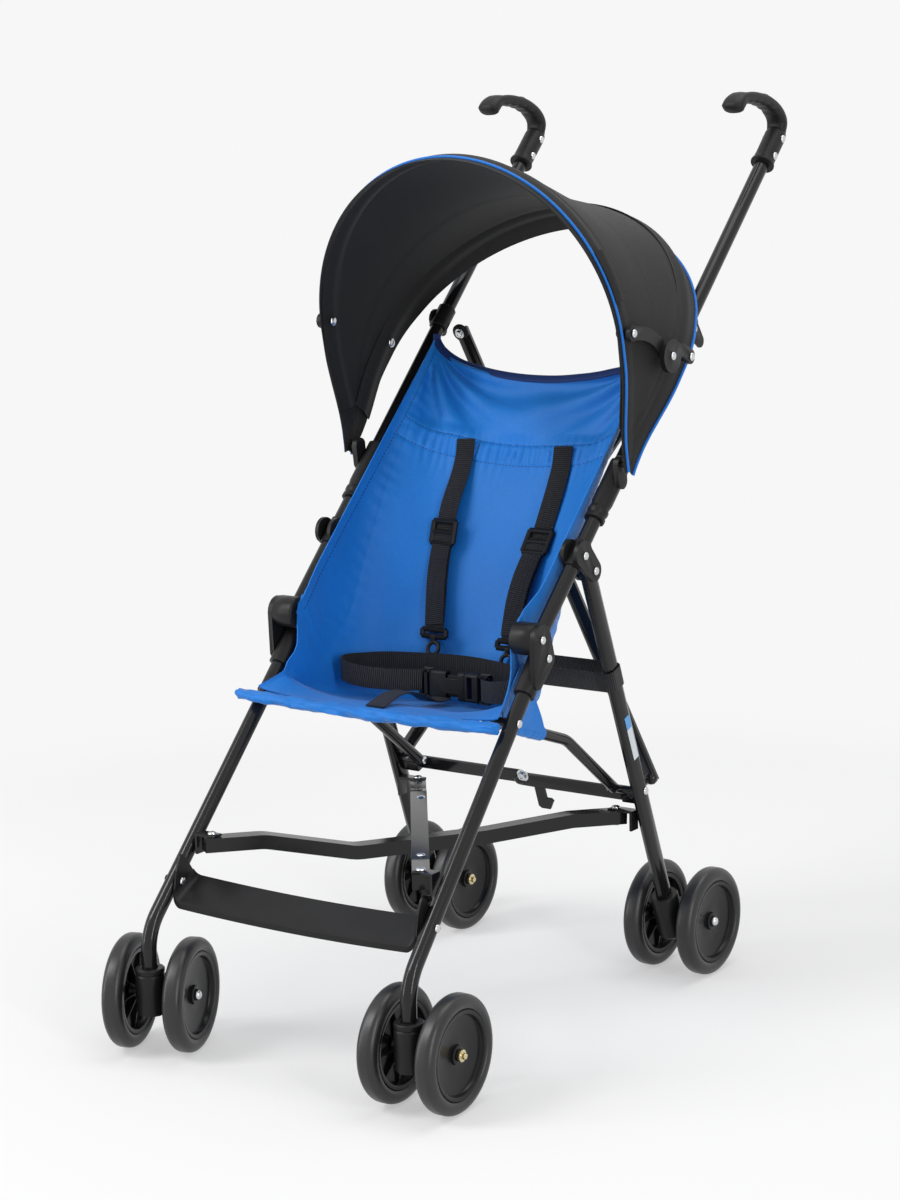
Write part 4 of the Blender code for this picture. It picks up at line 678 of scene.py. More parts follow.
def plastic(name, colour, roughness, grain=0.12):
    """Moulded plastic with a fine spark-eroded grain."""
    made, tree, shader = principled(name, colour, roughness, specular=0.20)
    place, _ = mottled(tree, shader, colour, 0.18, 30.0, roughness, 0.05)
    pits = node(tree, "ShaderNodeTexVoronoi", Vector=place, Scale=1500.0)
    add_bump(tree, shader, pits.outputs["Distance"], grain, 0.0002)
    return made


def rubber(name, colour, roughness):
    made, tree, shader = principled(name, colour, roughness)
    place, _ = mottled(tree, shader, colour, 0.25, 22.0, roughness, 0.06)
    add_bump(tree, shader, noise_at(tree, place, 600.0, 4.0), 0.10, 0.0003)
    return made


def ridges(tree, pitches):
    """Rows of round ridges on the UV map, which is in metres: one output for each (axis, pitch)."""
    uv = node(tree, "ShaderNodeUVMap")
    split = node(tree, "ShaderNodeSeparateXYZ", Vector=uv.outputs["UV"])
    found = []
    for axis, pitch in pitches:
        wave = maths(tree, "SINE", maths(tree, "MULTIPLY", split.outputs[axis], math.pi / pitch))
        found.append(maths(tree, "ABSOLUTE", wave))
    return found


def woven(name, colour, pitch, roughness, sheen, spread=0.10, depth=0.35, slub=0.10):
    """Plain weave: raised warp and weft threads, with slubs and a slightly uneven colour."""
    made, tree, shader = principled(name, colour, roughness, sheen=sheen, specular=0.25)
    weave = maths(tree, "MAXIMUM", *ridges(tree, (("X", pitch), ("Y", pitch))))
    place = node(tree, "ShaderNodeTexCoord").outputs["Object"]
    cloud = noise_at(tree, place, 260.0, 5.0, 0.7)
    broad = noise_at(tree, place, 9.0, 3.0)
    mixed = maths(tree, "MULTIPLY", maths(tree, "ADD", cloud, broad), 0.5)
    shaded(tree, shader, mixed, 1 - spread, 1 + spread, colour, 0.35, 0.65)
    height = maths(tree, "MULTIPLY_ADD", cloud, slub * 4, weave)
    add_bump(tree, shader, height, depth, pitch * 0.4)
    return made


def webbing_finish(name, colour):
    """Ribbed webbing: broad ribs across it and fine threads along it, with painted shade in the grooves and a
    painted highlight on the rib tops.
    """
    made, tree, shader = principled(name, colour, 0.45, sheen=0.03, specular=0.30)
    ribs, threads = ridges(tree, (("Y", 0.0024), ("X", 0.0012)))
    height = maths(tree, "MULTIPLY_ADD", threads, 0.35, ribs)
    # Painted shade and highlight: the base colour runs from dark in the grooves to light on the rib tops
    shaded(tree, shader, height, 0.35, 2.6, colour)
    add_bump(tree, shader, height, 1.0, 0.0014)
    return made


def metal(name, colour, roughness):
    made, tree, shader = principled(name, colour, roughness, metallic=1.0)
    _, cloud = mottled(tree, shader, colour, 0.10, 400.0, roughness, 0.08)
    add_bump(tree, shader, cloud, 0.05, 0.0002)
    return made


STEEL = paint("black_paint", (0.008, 0.008, 0.009), 0.16)
PLASTIC = plastic("satin_plastic", (0.011, 0.011, 0.012), 0.36)
GRIP = plastic("grip_plastic_satin", (0.013, 0.013, 0.014), 0.46, 0.20)
BUCKLE = plastic("buckle_plastic", (0.012, 0.012, 0.013), 0.45, 0.20)
RUBBER = rubber("tyre_rubber_satin", (0.013, 0.013, 0.014), 0.36)
HUB = plastic("hub_plastic", (0.010, 0.010, 0.011), 0.26, 0.06)
BLUE = woven("blue_polyester", (0.008, 0.172, 0.590), 0.0007, 0.46, 0.15)
BLUE_TRIM = woven("blue_piping", (0.012, 0.165, 0.600), 0.0005, 0.46, 0.1)
NAVY = woven("navy_binding", (0.006, 0.026, 0.130), 0.0006, 0.60, 0.2)
CHARCOAL = woven("charcoal_polyester", (0.0095, 0.0095, 0.0098), 0.0006, 0.70, 0.06, 0.25)
THREAD = principled("navy_thread", (0.004, 0.018, 0.110), 0.7)[0]
WEBBING = webbing_finish("black_webbing", (0.011, 0.011, 0.012))
ZINC = metal("zinc_plate", (0.62, 0.63, 0.64), 0.22)
BRASS = metal("yellow_zinc", (0.66, 0.56, 0.34), 0.28)
LABEL = principled("plain_label", (0.62, 0.66, 0.70), 0.5)[0]
LABEL_BLUE = principled("label_blue", (0.10, 0.32, 0.66), 0.5)[0]
TAB = woven("black_tab", (0.003, 0.003, 0.003), 0.0004, 0.5, 0.0)


# Carried-over nodes


def copied(name, edge, finish, slot, segments=2):
    """The CAD node with its sharp edges rounded, as a moulding has them."""
    source = NODES[name]
    mesh = source.data.copy()
    cleaner = bmesh.new()
    cleaner.from_mesh(mesh)
    bmesh.ops.remove_doubles(cleaner, verts=cleaner.verts, dist=0.00001)
    bmesh.ops.dissolve_limit(cleaner, angle_limit=math.radians(1.5), verts=cleaner.verts, edges=cleaner.edges)
    cleaner.to_mesh(mesh)
    cleaner.free()
    mesh.materials.clear()
    mesh.materials.append(finish)
    made = link(bpy.data.objects.new(name + "_moulding", mesh))
    bevel = made.modifiers.new("edges", "BEVEL")
    bevel.width = edge
    bevel.segments = segments
    bevel.limit_method = "ANGLE"
    bevel.angle_limit = math.radians(32)
    bevel.use_clamp_overlap = True
    bevel.harden_normals = False
    mesh.shade_smooth()
    mesh.set_sharp_from_angle(angle=math.radians(50))
    return attach(made, source["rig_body"], slot, name)


def dome_tips(name):
    """Rivet heads of a CAD node: (tip, axis, radius) where eight equal edges meet in a low dome."""
    cleaner = bmesh.new()
    cleaner.from_mesh(NODES[name].data)
    bmesh.ops.remove_doubles(cleaner, verts=cleaner.verts, dist=0.00001)
    found = []
    for vertex in cleaner.verts:
        if len(vertex.link_edges) != 8:
            continue
        ring = [edge.other_vert(vertex).co for edge in vertex.link_edges]
        centre = sum(ring, Vector()) / 8
        height = (vertex.co - centre).length
        radii = [(p - centre).length for p in ring]
        low, high = min(radii), max(radii)
        if high - low < 0.0003 and 0.0030 < high < 0.0062 and 0.0004 < height < 0.0030:
            found.append((vertex.co.copy(), (vertex.co - centre).normalized(), high))
    cleaner.free()
    return found


def rivet_heads():
    """Zinc heads over the CAD rivet domes of the frame and its mouldings."""
    profile = [(0.0, 0.30), (0.35, 0.26), (0.62, 0.12), (0.85, -0.14), (0.98, -0.50), (1.0, -0.75),
               (0.0, -0.75)]
    for name in sorted(NODES):
        if name.startswith(("shoulder", "grip")):
            continue
        tips = dome_tips(name)
        if not tips:
            continue
        shapes = []
        for tip, axis, radius in tips:
            size = radius * RIVET_SPREAD
            outline = [(r * size, 0.0002 + h * size * RIVET_RISE) for r, h in profile]
            shapes.append(turned_points(tip, axis, outline, 20))
        made = joined(name + "_rivets", shapes, ZINC, 50)
        attach(made, NODES[name]["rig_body"], "black_steel")
        if name == "foot_rest":
            soften_sides(made)


def dress_frame():
    plain = ("front_leg", "handle_tube", "rear_leg", "seat_rail", "cross_tube", "cross_bar", "lock_link")
    for name, item in NODES.items():
        item.data.materials.clear()
        item.data.materials.append(STEEL if name.startswith(plain) else PLASTIC)
    for side, _ in SIDES:
        for name in ("knuckle", "rear_leg_bracket", "top_bracket", "canopy_clip", "stay_arm_front",
                     "stay_arm_rear", "front_housing", "rear_housing"):
            copied(f"{name}_{side}", 0.0010, PLASTIC, "black_plastic")
        for name in ("cross_bar", "lock_link", "cross_tube", "rear_leg"):
            copied(f"{name}_{side}", 0.0008, STEEL, "black_steel", 3)
    for name in ("buckle_housing", "buckle_plug"):
        copied(name, 0.0007, BUCKLE, "black_plastic")
    for side, sign in SIDES:
        round_tubes(side, sign)
    foot_rest()
    rivet_heads()
    bolts()


def rod(first, second, radius, steps=24):
    axis = second - first
    length = axis.length
    edge = min(0.0004, radius / 4)
    outline = [(0.0, 0.0), (radius - edge, 0.0), (radius, edge), (radius, length - edge),
               (radius - edge, length), (0.0, length)]
    return turned_points(first, axis, outline, steps)


def round_tubes(side, sign):
    """Round tubes of one side frame, drawn anew with truly round sections."""
    foot = Vector((sign * STEM_X, LEG_CORNER.x, SOCKET_FLOOR_Z))
    top = point(sign * LEG_TOP_X, on_leg(LEG_RUN - LEG_TOP_GAP))
    path = rounded([foot, point(sign * STEM_X, LEG_CORNER), top], LEG_BEND_RADIUS)
    leg = sweep_points(placed(path), circle(TUBE_RADIUS, 32), ACROSS)
    start = at(sign * leg_x(RAIL_FRONT_ALONG), RAIL_FRONT)
    end = at(sign * (RAIL_X + RAIL_RADIUS), RAIL_FRONT)
    made = joined(f"front_leg_{side}_tube", [leg, rod(start, end, RAIL_PIN_RADIUS)], STEEL, 50)
    attach(made, f"front_leg_{side}", "black_steel", f"front_leg_{side}")
    ends = [at(sign * LEG_TOP_X, on_handle(HANDLE_START)), at(sign * HANDLE_TOP_X, on_handle(HANDLE_END))]
    made = sweep_piece(f"handle_{side}_tube", ends, circle(TUBE_RADIUS, 32), ACROSS, STEEL, sharp=50)
    attach(made, f"frame_{side}", "black_steel", f"handle_tube_{side}")
    fold_barrel(side, sign)
    x = sign * RAIL_X
    corners = [point(x, RAIL_FRONT), point(x, RAIL_BEND), point(x, REAR_JOINT)]
    rail = sweep_points(placed(rounded(corners, RAIL_BEND_RADIUS)), circle(RAIL_RADIUS, 28), ACROSS)
    leg_face = at(sign * (rear_leg_x(REAR_JOINT_RUN) - REAR_LEG_THICKNESS / 2), REAR_JOINT)
    pin = rod(at(x, REAR_JOINT), leg_face, RAIL_PIN_RADIUS)
    made = joined(f"seat_rail_{side}_tube", [rail, pin], STEEL, 50)
    attach(made, f"seat_rail_{side}", "black_steel", f"seat_rail_{side}")


def fold_barrel(side, sign):
    """The round moulding on the fold axis, with a shallow recess inside and a rounded rim."""
    radius, rim = BARREL_RADIUS, 0.0030
    width = BARREL_OUTER_X - BARREL_INNER_X
    outline = [(0.0, 0.0006), (radius - 0.0060, 0.0006), (radius - 0.0052, 0.0)]
    for i in range(7):
        a = math.pi / 2 * i / 6
        outline.append((radius - rim * (1 - math.sin(a)), rim * (1 - math.cos(a))))
    outline += [(radius, width * 0.5), (radius, width - 0.0006), (radius - 0.0006, width), (0.0, width)]
    seat = at(sign * BARREL_INNER_X, PIVOT)
    made = turned_piece(f"fold_barrel_{side}", seat, Vector((sign, 0, 0)), outline, PLASTIC, 48)
    attach(made, f"frame_{side}", "black_plastic")


def bolt(name, seat, way, radius, body):
    """A zinc hexagon head on a washer."""
    washer = [(0.0, 0.0), (radius * 1.35, 0.0), (radius * 1.35, 0.0009), (radius * 1.2, 0.0012),
              (0.0, 0.0012)]
    head = [(0.0, 0.0012), (radius, 0.0012), (radius, 0.0038), (radius * 0.85, 0.0046),
            (radius * 0.5, 0.0046), (radius * 0.4, 0.0038), (0.0, 0.0038)]
    shapes = [turned_points(seat, way, washer, 32), turned_points(seat, way, head, 6)]
    attach(joined(name, shapes, ZINC, 30), body, "black_steel")


def bolts():
    """Bolts that the solids leave out: at the lock's knee, on one cross bar and at the cross tubes' tops."""
    lock_body = NODES["lock_link_left"]["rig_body"]
    bolt("lock_knee_bolt", Vector(LOCK_BOLT), Vector(LOCK_BOLT_WAY).normalized(), LOCK_BOLT_RADIUS, lock_body)
    rivet = [(0.0, 0.0018), (0.0022, 0.0016), (0.0044, 0.0006), (0.0048, 0.0), (0.0, -0.0004)]
    for name, seat in (("inner", BAR_BOLT_INNER), ("outer", BAR_BOLT_OUTER)):
        made = turned_piece(f"bar_rivet_{name}", Vector(seat), Vector((0, 0, 1)), rivet, ZINC)
        attach(made, NODES["cross_bar_right"]["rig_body"], "black_steel")
    disc = [(0.0, 0.0), (0.0105, 0.0), (0.0110, 0.0005), (0.0110, 0.0025), (0.0100, 0.0035), (0.0, 0.0035)]
    top = on_handle(CROSS_TOP_ALONG) - HANDLE_AHEAD * CROSS_TOP_BEHIND
    front = point(0, -REAR_LEG_BEHIND)
    for side, sign in SIDES:
        body = NODES[f"cross_tube_{side}"]["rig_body"]
        middle = at(-sign * (HANDLE_TOP_X - CROSS_TOP_INSIDE), top)
        seat = middle + point(0, REAR_LEG_BEHIND) * sign * CROSS_SHIFT + front * CROSS_TUBE_HALF_DEPTH
        made = turned_piece(f"cross_top_disc_{side}", seat, front, disc, PLASTIC, 32)
        attach(made, body, "black_plastic")
        bolt(f"cross_top_bolt_{side}", seat + front * disc[-1][1], front, CROSS_BOLT_RADIUS, body)


def foot_rest_half(half, ear_height):
    """One half across the foot rest as (x, up): down the ear, round its bend and over the tread."""
    flat = half - FOOT_REST_BEND
    stops = []
    for k in range(15):
        stops.append((half, ear_height - (ear_height - FOOT_REST_BEND) * k / 14))
    for k in range(1, 9):
        a = math.pi / 2 * k / 8
        stops.append((half - FOOT_REST_BEND * (1 - math.cos(a)), FOOT_REST_BEND * (1 - math.sin(a))))
    for k in range(1, 27):
        x = flat * (1 - k / 26)
        stops.append((x, -FOOT_REST_SAG * (1 - (x / flat) ** 2)))
    return stops


def foot_rest():
    """One flexible moulding: a tread that curls up into an ear at each leg and down into a front lip."""
    ear_place, ear_share = 0.42, 0.42
    slope = turned_by(FOOT_REST_SLOPE)
    front = on_leg(FOOT_REST_ALONG) - Vector((FOOT_REST_FRONT, FOOT_REST_FALL))
    centre = front + slope * FOOT_REST_DEPTH * ear_place
    half = leg_x(FOOT_REST_ALONG + 0.025) - TUBE_RADIUS - FOOT_REST_CLEARANCE
    rows = []
    for i in range(-2, 21):
        run = max(i, 0) / 20
        base = front + slope * FOOT_REST_DEPTH * run
        ear = Vector((centre.x + (base.x - centre.x) * ear_share, centre.y))
        lip = FOOT_REST_LIP_STEP * max(-i, 0)
        ear_height = FOOT_REST_EAR * math.sqrt(max(0.05, 1 - (2 * abs(run - ear_place)) ** 2 * 0.80))
        stops = foot_rest_half(half, ear_height)
        row = []
        for x, up in stops + [(-x, up) for x, up in reversed(stops[:-1])]:
            flat = base.lerp(ear, max(0.0, up) / FOOT_REST_EAR)
            row.append(point(x, flat + Vector((0, up - lip))))
        rows.append(placed(row))
    made = rows_to_shell("foot_rest_tread", rows, FOOT_REST_THICKNESS, PLASTIC, (0, 0, 1), 50)
    attach(made, "front_leg_left", "black_plastic", "foot_rest")
    soften_sides(made)


# Wheels


def wheel_profiles():
    """Outlines of a tyre and a hub as (radius, height along the axle)."""
    half = WHEEL_WIDTH / 2
    inner = WHEEL_RADIUS - TYRE_DEPTH
    tyre = [(inner, half * 0.70), (inner + 0.0015, half * 0.90), (inner + TYRE_DEPTH * 0.35, half)]
    for i in range(1, 9):
        a = math.pi / 2 * i / 8
        tyre.append((inner + TYRE_DEPTH * (0.35 + 0.65 * math.sin(a)), half * (0.30 + 0.70 * math.cos(a))))
    tyre += [(r, -h) for r, h in reversed(tyre)]
    rim = inner - 0.0002
    hub = [(0.0046, -half * 0.82), (0.0085, -half * 0.82), (0.0100, -half * 0.50), (0.0125, -0.0018),
           (rim - 0.0075, -0.0018), (rim - 0.0050, -half * 0.60), (rim - 0.0045, -half * 0.80),
           (rim - 0.0035, -half * 0.84), (rim, -half * 0.84), (rim, half * 0.84),
           (rim - 0.0030, half * 0.84), (rim - 0.0042, half * 0.78), (rim - 0.0050, half * 0.55),
           (rim - 0.0060, half * 0.42), (rim * 0.55, half * 0.24), (0.0140, half * 0.16),
           (0.0110, half * 0.20), (0.0104, half * 0.46), (0.0095, half * 0.50), (0.0046, half * 0.50)]
    return tyre, hub


def wheel_ribs(centre, axis):
    """Thin webs on the hub's inner side, from the boss to the rim."""
    half = WHEEL_WIDTH / 2
    rim = WHEEL_RADIUS - TYRE_DEPTH - 0.0055
    side = axis.orthogonal().normalized()
    ahead = axis.cross(side)
    shapes = []
    for i in range(RIB_COUNT):
        a = 2 * math.pi * i / RIB_COUNT
        out = side * math.cos(a) + ahead * math.sin(a)
        wide = axis.cross(out)
        corners = [(0.0088, -half * 0.78), (0.0088, -0.0016), (rim, -0.0016), (rim, -half * 0.34)]
        points = []
        for way in (-1, 1):
            points += [centre + out * r + axis * h + wide * RIB_HALF_THICKNESS * way for r, h in corners]
        faces = [(0, 1, 2, 3), (7, 6, 5, 4), (0, 4, 5, 1), (1, 5, 6, 2), (2, 6, 7, 3), (3, 7, 4, 0)]
        shapes.append((points, faces, [(0.0, 0.0)] * 8))
    return shapes


def wheels():
    tyre_profile, hub_profile = wheel_profiles()
    for place in ("front", "rear"):
        for side, sign in SIDES:
            for end, way in (("outer", 1), ("inner", -1)):
                joint = JOINTS[f"{place}_wheel_{side}_{end}_spin"]
                centre = Vector(joint["pos_m"])
                axis = Vector(joint["axis"])
                if way * sign < 0:
                    axis = -axis
                tag = f"{place}_{side}_{end}"
                made = turned_piece(f"tyre_{tag}", centre, axis, tyre_profile, RUBBER, WHEEL_STEPS, 60)
                attach(made, joint["child"], "tyre_rubber", f"{place}_tyre_{side}_{end}")
                shapes = [turned_points(centre, axis, hub_profile, WHEEL_STEPS)] + wheel_ribs(centre, axis)
                made = joined(f"hub_{tag}", shapes, HUB, 40)
                attach(made, joint["child"], "black_plastic", f"{place}_hub_{side}_{end}")
                axle_end(tag, centre + axis * HUB_FACE, axis, joint["parent"], (place, side) in CLIPPED_AXLES)


def axle_end(tag, seat, axis, body, clipped):
    """A washer with either a domed zinc cap or a yellow push-on clip over it."""
    washer = [(0.0, 0.0020), (0.0060, 0.0019), (0.0064, 0.0012), (0.0066, 0.0), (0.0, 0.0)]
    dome = [(0.0, 0.0056), (0.0024, 0.0053), (0.0044, 0.0042), (0.0055, 0.0024), (0.0057, 0.0010),
            (0.0, 0.0010)]
    clip = [(0.0, 0.0082), (0.0030, 0.0080), (0.0034, 0.0072), (0.0034, 0.0046), (0.0066, 0.0042),
            (0.0070, 0.0030), (0.0066, 0.0016), (0.0050, 0.0010), (0.0, 0.0010)]
    made = turned_piece(f"axle_washer_{tag}", seat - axis * 0.0008, axis, washer, HUB, 24, 40)
    attach(made, body, "black_plastic")
    outline, finish = (clip, BRASS) if clipped else (dome, ZINC)
    made = turned_piece(f"axle_end_{tag}", seat - axis * 0.0004, axis, outline, finish, 20, 40)
    attach(made, body, "black_plastic")


# Grips


def squarish(half_wide, half_tall, steps=32, power=0.75):
    """A closed outline between an ellipse and a rectangle."""
    outline = []
    for i in range(steps):
        a = 2 * math.pi * i / steps
        across = math.copysign(abs(math.cos(a)) ** power, math.cos(a)) * half_wide
        tall = math.copysign(abs(math.sin(a)) ** power, math.sin(a)) * half_tall
        outline.append((across, tall))
    return outline


def grip_hook(x, base):
    """The curled part of a grip, with finger grooves inside the curl and a recess on its back."""
    stops = [point(x, on_handle(base - 0.010)), point(x, on_handle(base - 0.002))]
    stops += [point(x, on_handle(along, ahead)) for along, ahead in GRIP_BEND]
    path = smooth_path(stops, GRIP_STEPS)
    section = squarish(GRIP_HALF_WIDTH, GRIP_HALF_DEPTH)
    size = len(section)
    points, faces, uvs = sweep_points(path, section, ACROSS)
    shaped = []
    for i, here in enumerate(path):
        share = i / GRIP_STEPS
        forward = (path[min(i + 1, GRIP_STEPS)] - path[max(i - 1, 0)]).normalized()
        up = forward.cross(ACROSS)
        swell = 0.88 + 0.12 * smooth_step(share, 0.0, 0.15) + 0.10 * smooth_step(share, 0.84, 0.93)
        swell *= 1 - 0.45 * smooth_step(share, 0.975, 1.0)
        groove = 0.0
        if 0.28 < share < 0.86:
            groove = 0.0016 * math.sin((share - 0.28) / 0.58 * math.pi * 5) ** 2
        for corner in points[i * size:(i + 1) * size]:
            offset = corner - here
            tall = offset.dot(up)
            local = here + offset * swell
            if tall > 0.003:
                recess = bell(offset.x / GRIP_HALF_WIDTH, 0, 0.55) * smooth_step(share, 0.16, 0.24)
                recess *= 1 - smooth_step(share, 0.78, 0.86)
                local -= up * 0.0036 * recess * (1 - bell(share, 0.50, 0.012))
            elif tall < -0.003:
                local += up * groove * 0.8
            shaped.append(local)
    return placed(shaped), faces, uvs


def grips():
    """Hook handles, each with a flared collar and two rivets through it."""
    along = HANDLE_END - 0.0050
    length = GRIP_COLLAR_LENGTH
    collar = [(0.0, 0.0), (0.0142, 0.0), (0.0146, 0.0012), (0.0142, 0.0032), (0.0128, 0.0048),
              (0.0126, 0.0100), (0.0128, length - 0.006), (0.0118, length - 0.001),
              (0.0090, length + 0.001), (0.0, length + 0.001)]
    rivet = [(0.0, 0.0022), (0.0026, 0.0020), (0.0042, 0.0011), (0.0046, 0.0), (0.0, -0.0002)]
    for side, sign in SIDES:
        x = sign * HANDLE_TOP_X
        axis = point(x, on_handle(along + length)) - point(x, on_handle(along))
        shapes = [grip_hook(x, along + length), turned_points(at(x, on_handle(along)), axis, collar, 40)]
        made = joined(f"grip_{side}_hook", shapes, GRIP, 45)
        attach(made, f"frame_{side}", "grip_plastic", f"grip_{side}")
        heads = []
        for share in (0.27, 0.80):
            for way in (1, -1):
                seat = at(x + way * 0.0124, on_handle(along + length * share))
                heads.append(turned_points(seat, Vector((way, 0, 0)), rivet, 20))
        attach(joined(f"grip_{side}_rivets", heads, ZINC, 50), f"frame_{side}", "black_steel")


# Canopy


def hoop_point(share, shoulder, height, half_width, start=0.0):
    """Half width and reach from the clip at this share of a hoop: straight sides and an arch."""
    straight = shoulder - start
    arch = math.pi * (half_width + height) / 2
    place = share * (2 * straight + arch)
    if place < straight:
        return half_width, start + place
    if place > straight + arch:
        return -half_width, start + (2 * straight + arch - place)
    a = (place - straight) / arch * math.pi
    return half_width * math.cos(a), shoulder + height * math.sin(a)


def gathered(x, reach, inner_x):
    """Draws the cloth in towards the clips near the foot of the hoops."""
    share = max(0.0, min(1.0, (reach - 0.018) / 0.100))
    keep = share * share * (3 - 2 * share)
    return math.copysign(inner_x + (abs(x) - inner_x) * keep, x)


def hoop_path(angle, height, layer, start, steps):
    path = []
    for i in range(steps + 1):
        x, reach = hoop_point(i / steps, HOOP_SHOULDER, height, HOOP_HALF_WIDTH, start)
        path.append(point(gathered(x, reach, layer), CLIP + turned_by(angle) * reach))
    return path


def canopy_rows():
    """Rows from the front edge to the rear edge, each from the left clip over to the right one."""
    steps = CANOPY_STEPS
    front = hoop_path(HOOP_FRONT_ANGLE, HOOP_HEIGHT_FRONT, CANOPY_LAYER, CANOPY_START, steps)
    rear = hoop_path(HOOP_REAR_ANGLE, HOOP_HEIGHT_REAR, CANOPY_LAYER, CANOPY_START, steps)

    def edge(path, angle, edge_angle, share):
        row = []
        for here in path:
            reach = (Vector((here.y, here.z)) - CLIP).dot(turned_by(angle))
            turn = edge_angle - angle
            offset = math.copysign(math.hypot(max(reach, 0) * turn, CANOPY_EDGE_MARGIN), turn)
            row.append(here + point(0, left_of(turned_by(angle))) * offset * share)
        return row

    count = CANOPY_EDGE_ROWS
    rows = [edge(front, HOOP_FRONT_ANGLE, CANOPY_FRONT_ANGLE, 1 - i / count) for i in range(count)]
    for k in range(CANOPY_MIDDLE_ROWS + 1):
        share = k / CANOPY_MIDDLE_ROWS
        row = []
        for i, (a, b) in enumerate(zip(front, rear)):
            here = a.lerp(b, share)
            inward = point(0, CLIP) - point(0, (here.y, here.z))
            around = i / steps
            sag = CANOPY_SAG * math.sin(math.pi * share) ** 2 * math.sin(math.pi * around) ** 2
            side = smooth_step(abs(around - 0.5), 0.22, 0.42)
            free = math.sin(math.pi * share)
            ripple = 0.0022 * math.sin(share * 9 + around * 20) * free * side
            ripple += 0.0016 * noise.noise(Vector((here.x * 9, here.y * 9, here.z * 9))) * free
            row.append(here + inward.normalized() * (sag + ripple))
        rows.append(row)
    rows += [edge(rear, HOOP_REAR_ANGLE, CANOPY_REAR_ANGLE, i / count) for i in range(1, count + 1)]
    return rows


def outward_of(rows):
    """The grid and its unit normals, which point away from the middle of the canopy."""
    grid = grid_of(rows)
    normal = grid_normals(grid)
    facing = ((grid - grid.mean(axis=(0, 1))) * normal).sum(axis=2, keepdims=True)
    return grid, -normal if facing.mean() < 0 else normal


def canopy():
    grid, normal = outward_of(canopy_rows())
    count = len(grid)
    first, last = CANOPY_EDGE_ROWS, CANOPY_EDGE_ROWS + CANOPY_MIDDLE_ROWS
    grid = grid + normal * canopy_lift(grid, (first, last))
    canopy_panels(grid)
    for name, row, body in (("front", 2, "canopy_front"), ("rear", count - 1, "frame_left")):
        path = [Vector(p) + Vector(n) * PIPING_LIFT for p, n in zip(grid[row], normal[row])]
        across = [Vector(n) for n in normal[row]]
        section = circle(PIPING_RADIUS, 10)
        made = sweep_piece(f"canopy_piping_{name}", placed(path), section, across, BLUE_TRIM)
        soften_canopy(attach(made, body, "seat_cloth"))
    for name, row, body, inside in (("front", first, "canopy_front", 1), ("rear", last, "frame_left", -1)):
        points, normals = grid[row][6:-6], normal[row][6:-6]
        path = [Vector(p) - Vector(n) * SLEEVE_DEPTH for p, n in zip(points, normals)]
        across = [Vector(n) for n in normals]
        upper = [(SLEEVE_BULGE - SLEEVE_BULGE * bell(b, 0, 0.0085), b + inside * SLEEVE_SHIFT)
                 for b in np.linspace(-SLEEVE_HALF_WIDTH, SLEEVE_HALF_WIDTH, 15)]
        section = upper + [(a - SLEEVE_THICKNESS, b) for a, b in reversed(upper)]
        made = sweep_piece(f"canopy_sleeve_{name}", placed(path), section, across, CHARCOAL)
        soften_canopy(attach(made, body, "canopy_cloth", f"canopy_hoop_{name}"))
    canopy_tab(grid, normal)
    canopy_rivets()


def canopy_lift(grid, hoops):
    """Height of the cloth above its plain shape: raised over each hoop and pulled in along its seams."""
    lift = np.zeros((*grid.shape[:2], 1))
    for row in range(len(grid)):
        for hoop in hoops:
            gap = np.linalg.norm(grid[row] - grid[hoop], axis=1)
            sleeve = np.clip(1 - gap / SLEEVE_RISE_WIDTH, 0, 1) ** 0.5
            lift[row, :, 0] = np.maximum(lift[row, :, 0], sleeve * SLEEVE_RISE)
            lift[row, :, 0] -= np.exp(-(((gap - SEAM_FROM_HOOP) / SEAM_WIDTH) ** 2)) * SEAM_DEPTH
    return lift


def canopy_panels(grid):
    """Front and rear panel. Where they meet, each has half of the thickness and the rear one is outside."""
    split = CANOPY_EDGE_ROWS + CANOPY_MIDDLE_ROWS // 2
    overlap = PANEL_OVERLAP_ROWS
    outer = CANOPY_THICKNESS / 2
    full, upper, lower = (outer, -outer), (outer, 0.0001), (-0.0001, -outer)

    def near_split(share):
        return grid[split] + (grid[split + 1] - grid[split]) * share

    front = [*grid[:split + 1], near_split(0.03), *grid[split + 1:split + 1 + overlap]]
    rear = [near_split(0.04), *grid[split + 1:]]
    front_faces = [full] * (split + 1) + [lower] * (overlap + 1)
    rear_faces = [upper] * (overlap + 1) + [full] * (len(rear) - overlap - 1)
    for name, rows, faces_at, body, nodes in (
            ("canopy_front_panel", front, front_faces, "canopy_front", ()),
            ("canopy_rear_panel", rear, rear_faces, "frame_left", ("canopy",))):
        rows = placed_rows(rows)
        made = rows_to_shell(name, rows, CANOPY_THICKNESS, CHARCOAL, (0, 0, 1), 60, faces_at)
        soften_canopy(attach(made, body, "canopy_cloth", *nodes))


def canopy_tab(grid, normal):
    """A bare black tab sewn on the outside behind the front piping."""
    rows = [[Vector(grid[r][c]) + Vector(normal[r][c]) * TAB_LIFT for c in TAB_COLUMNS] for r in TAB_ROWS]
    made = rows_to_shell("canopy_tab", placed_rows(rows), TAB_THICKNESS, TAB, (0, 0, 1))
    soften_canopy(attach(made, "canopy_front", "canopy_cloth"))


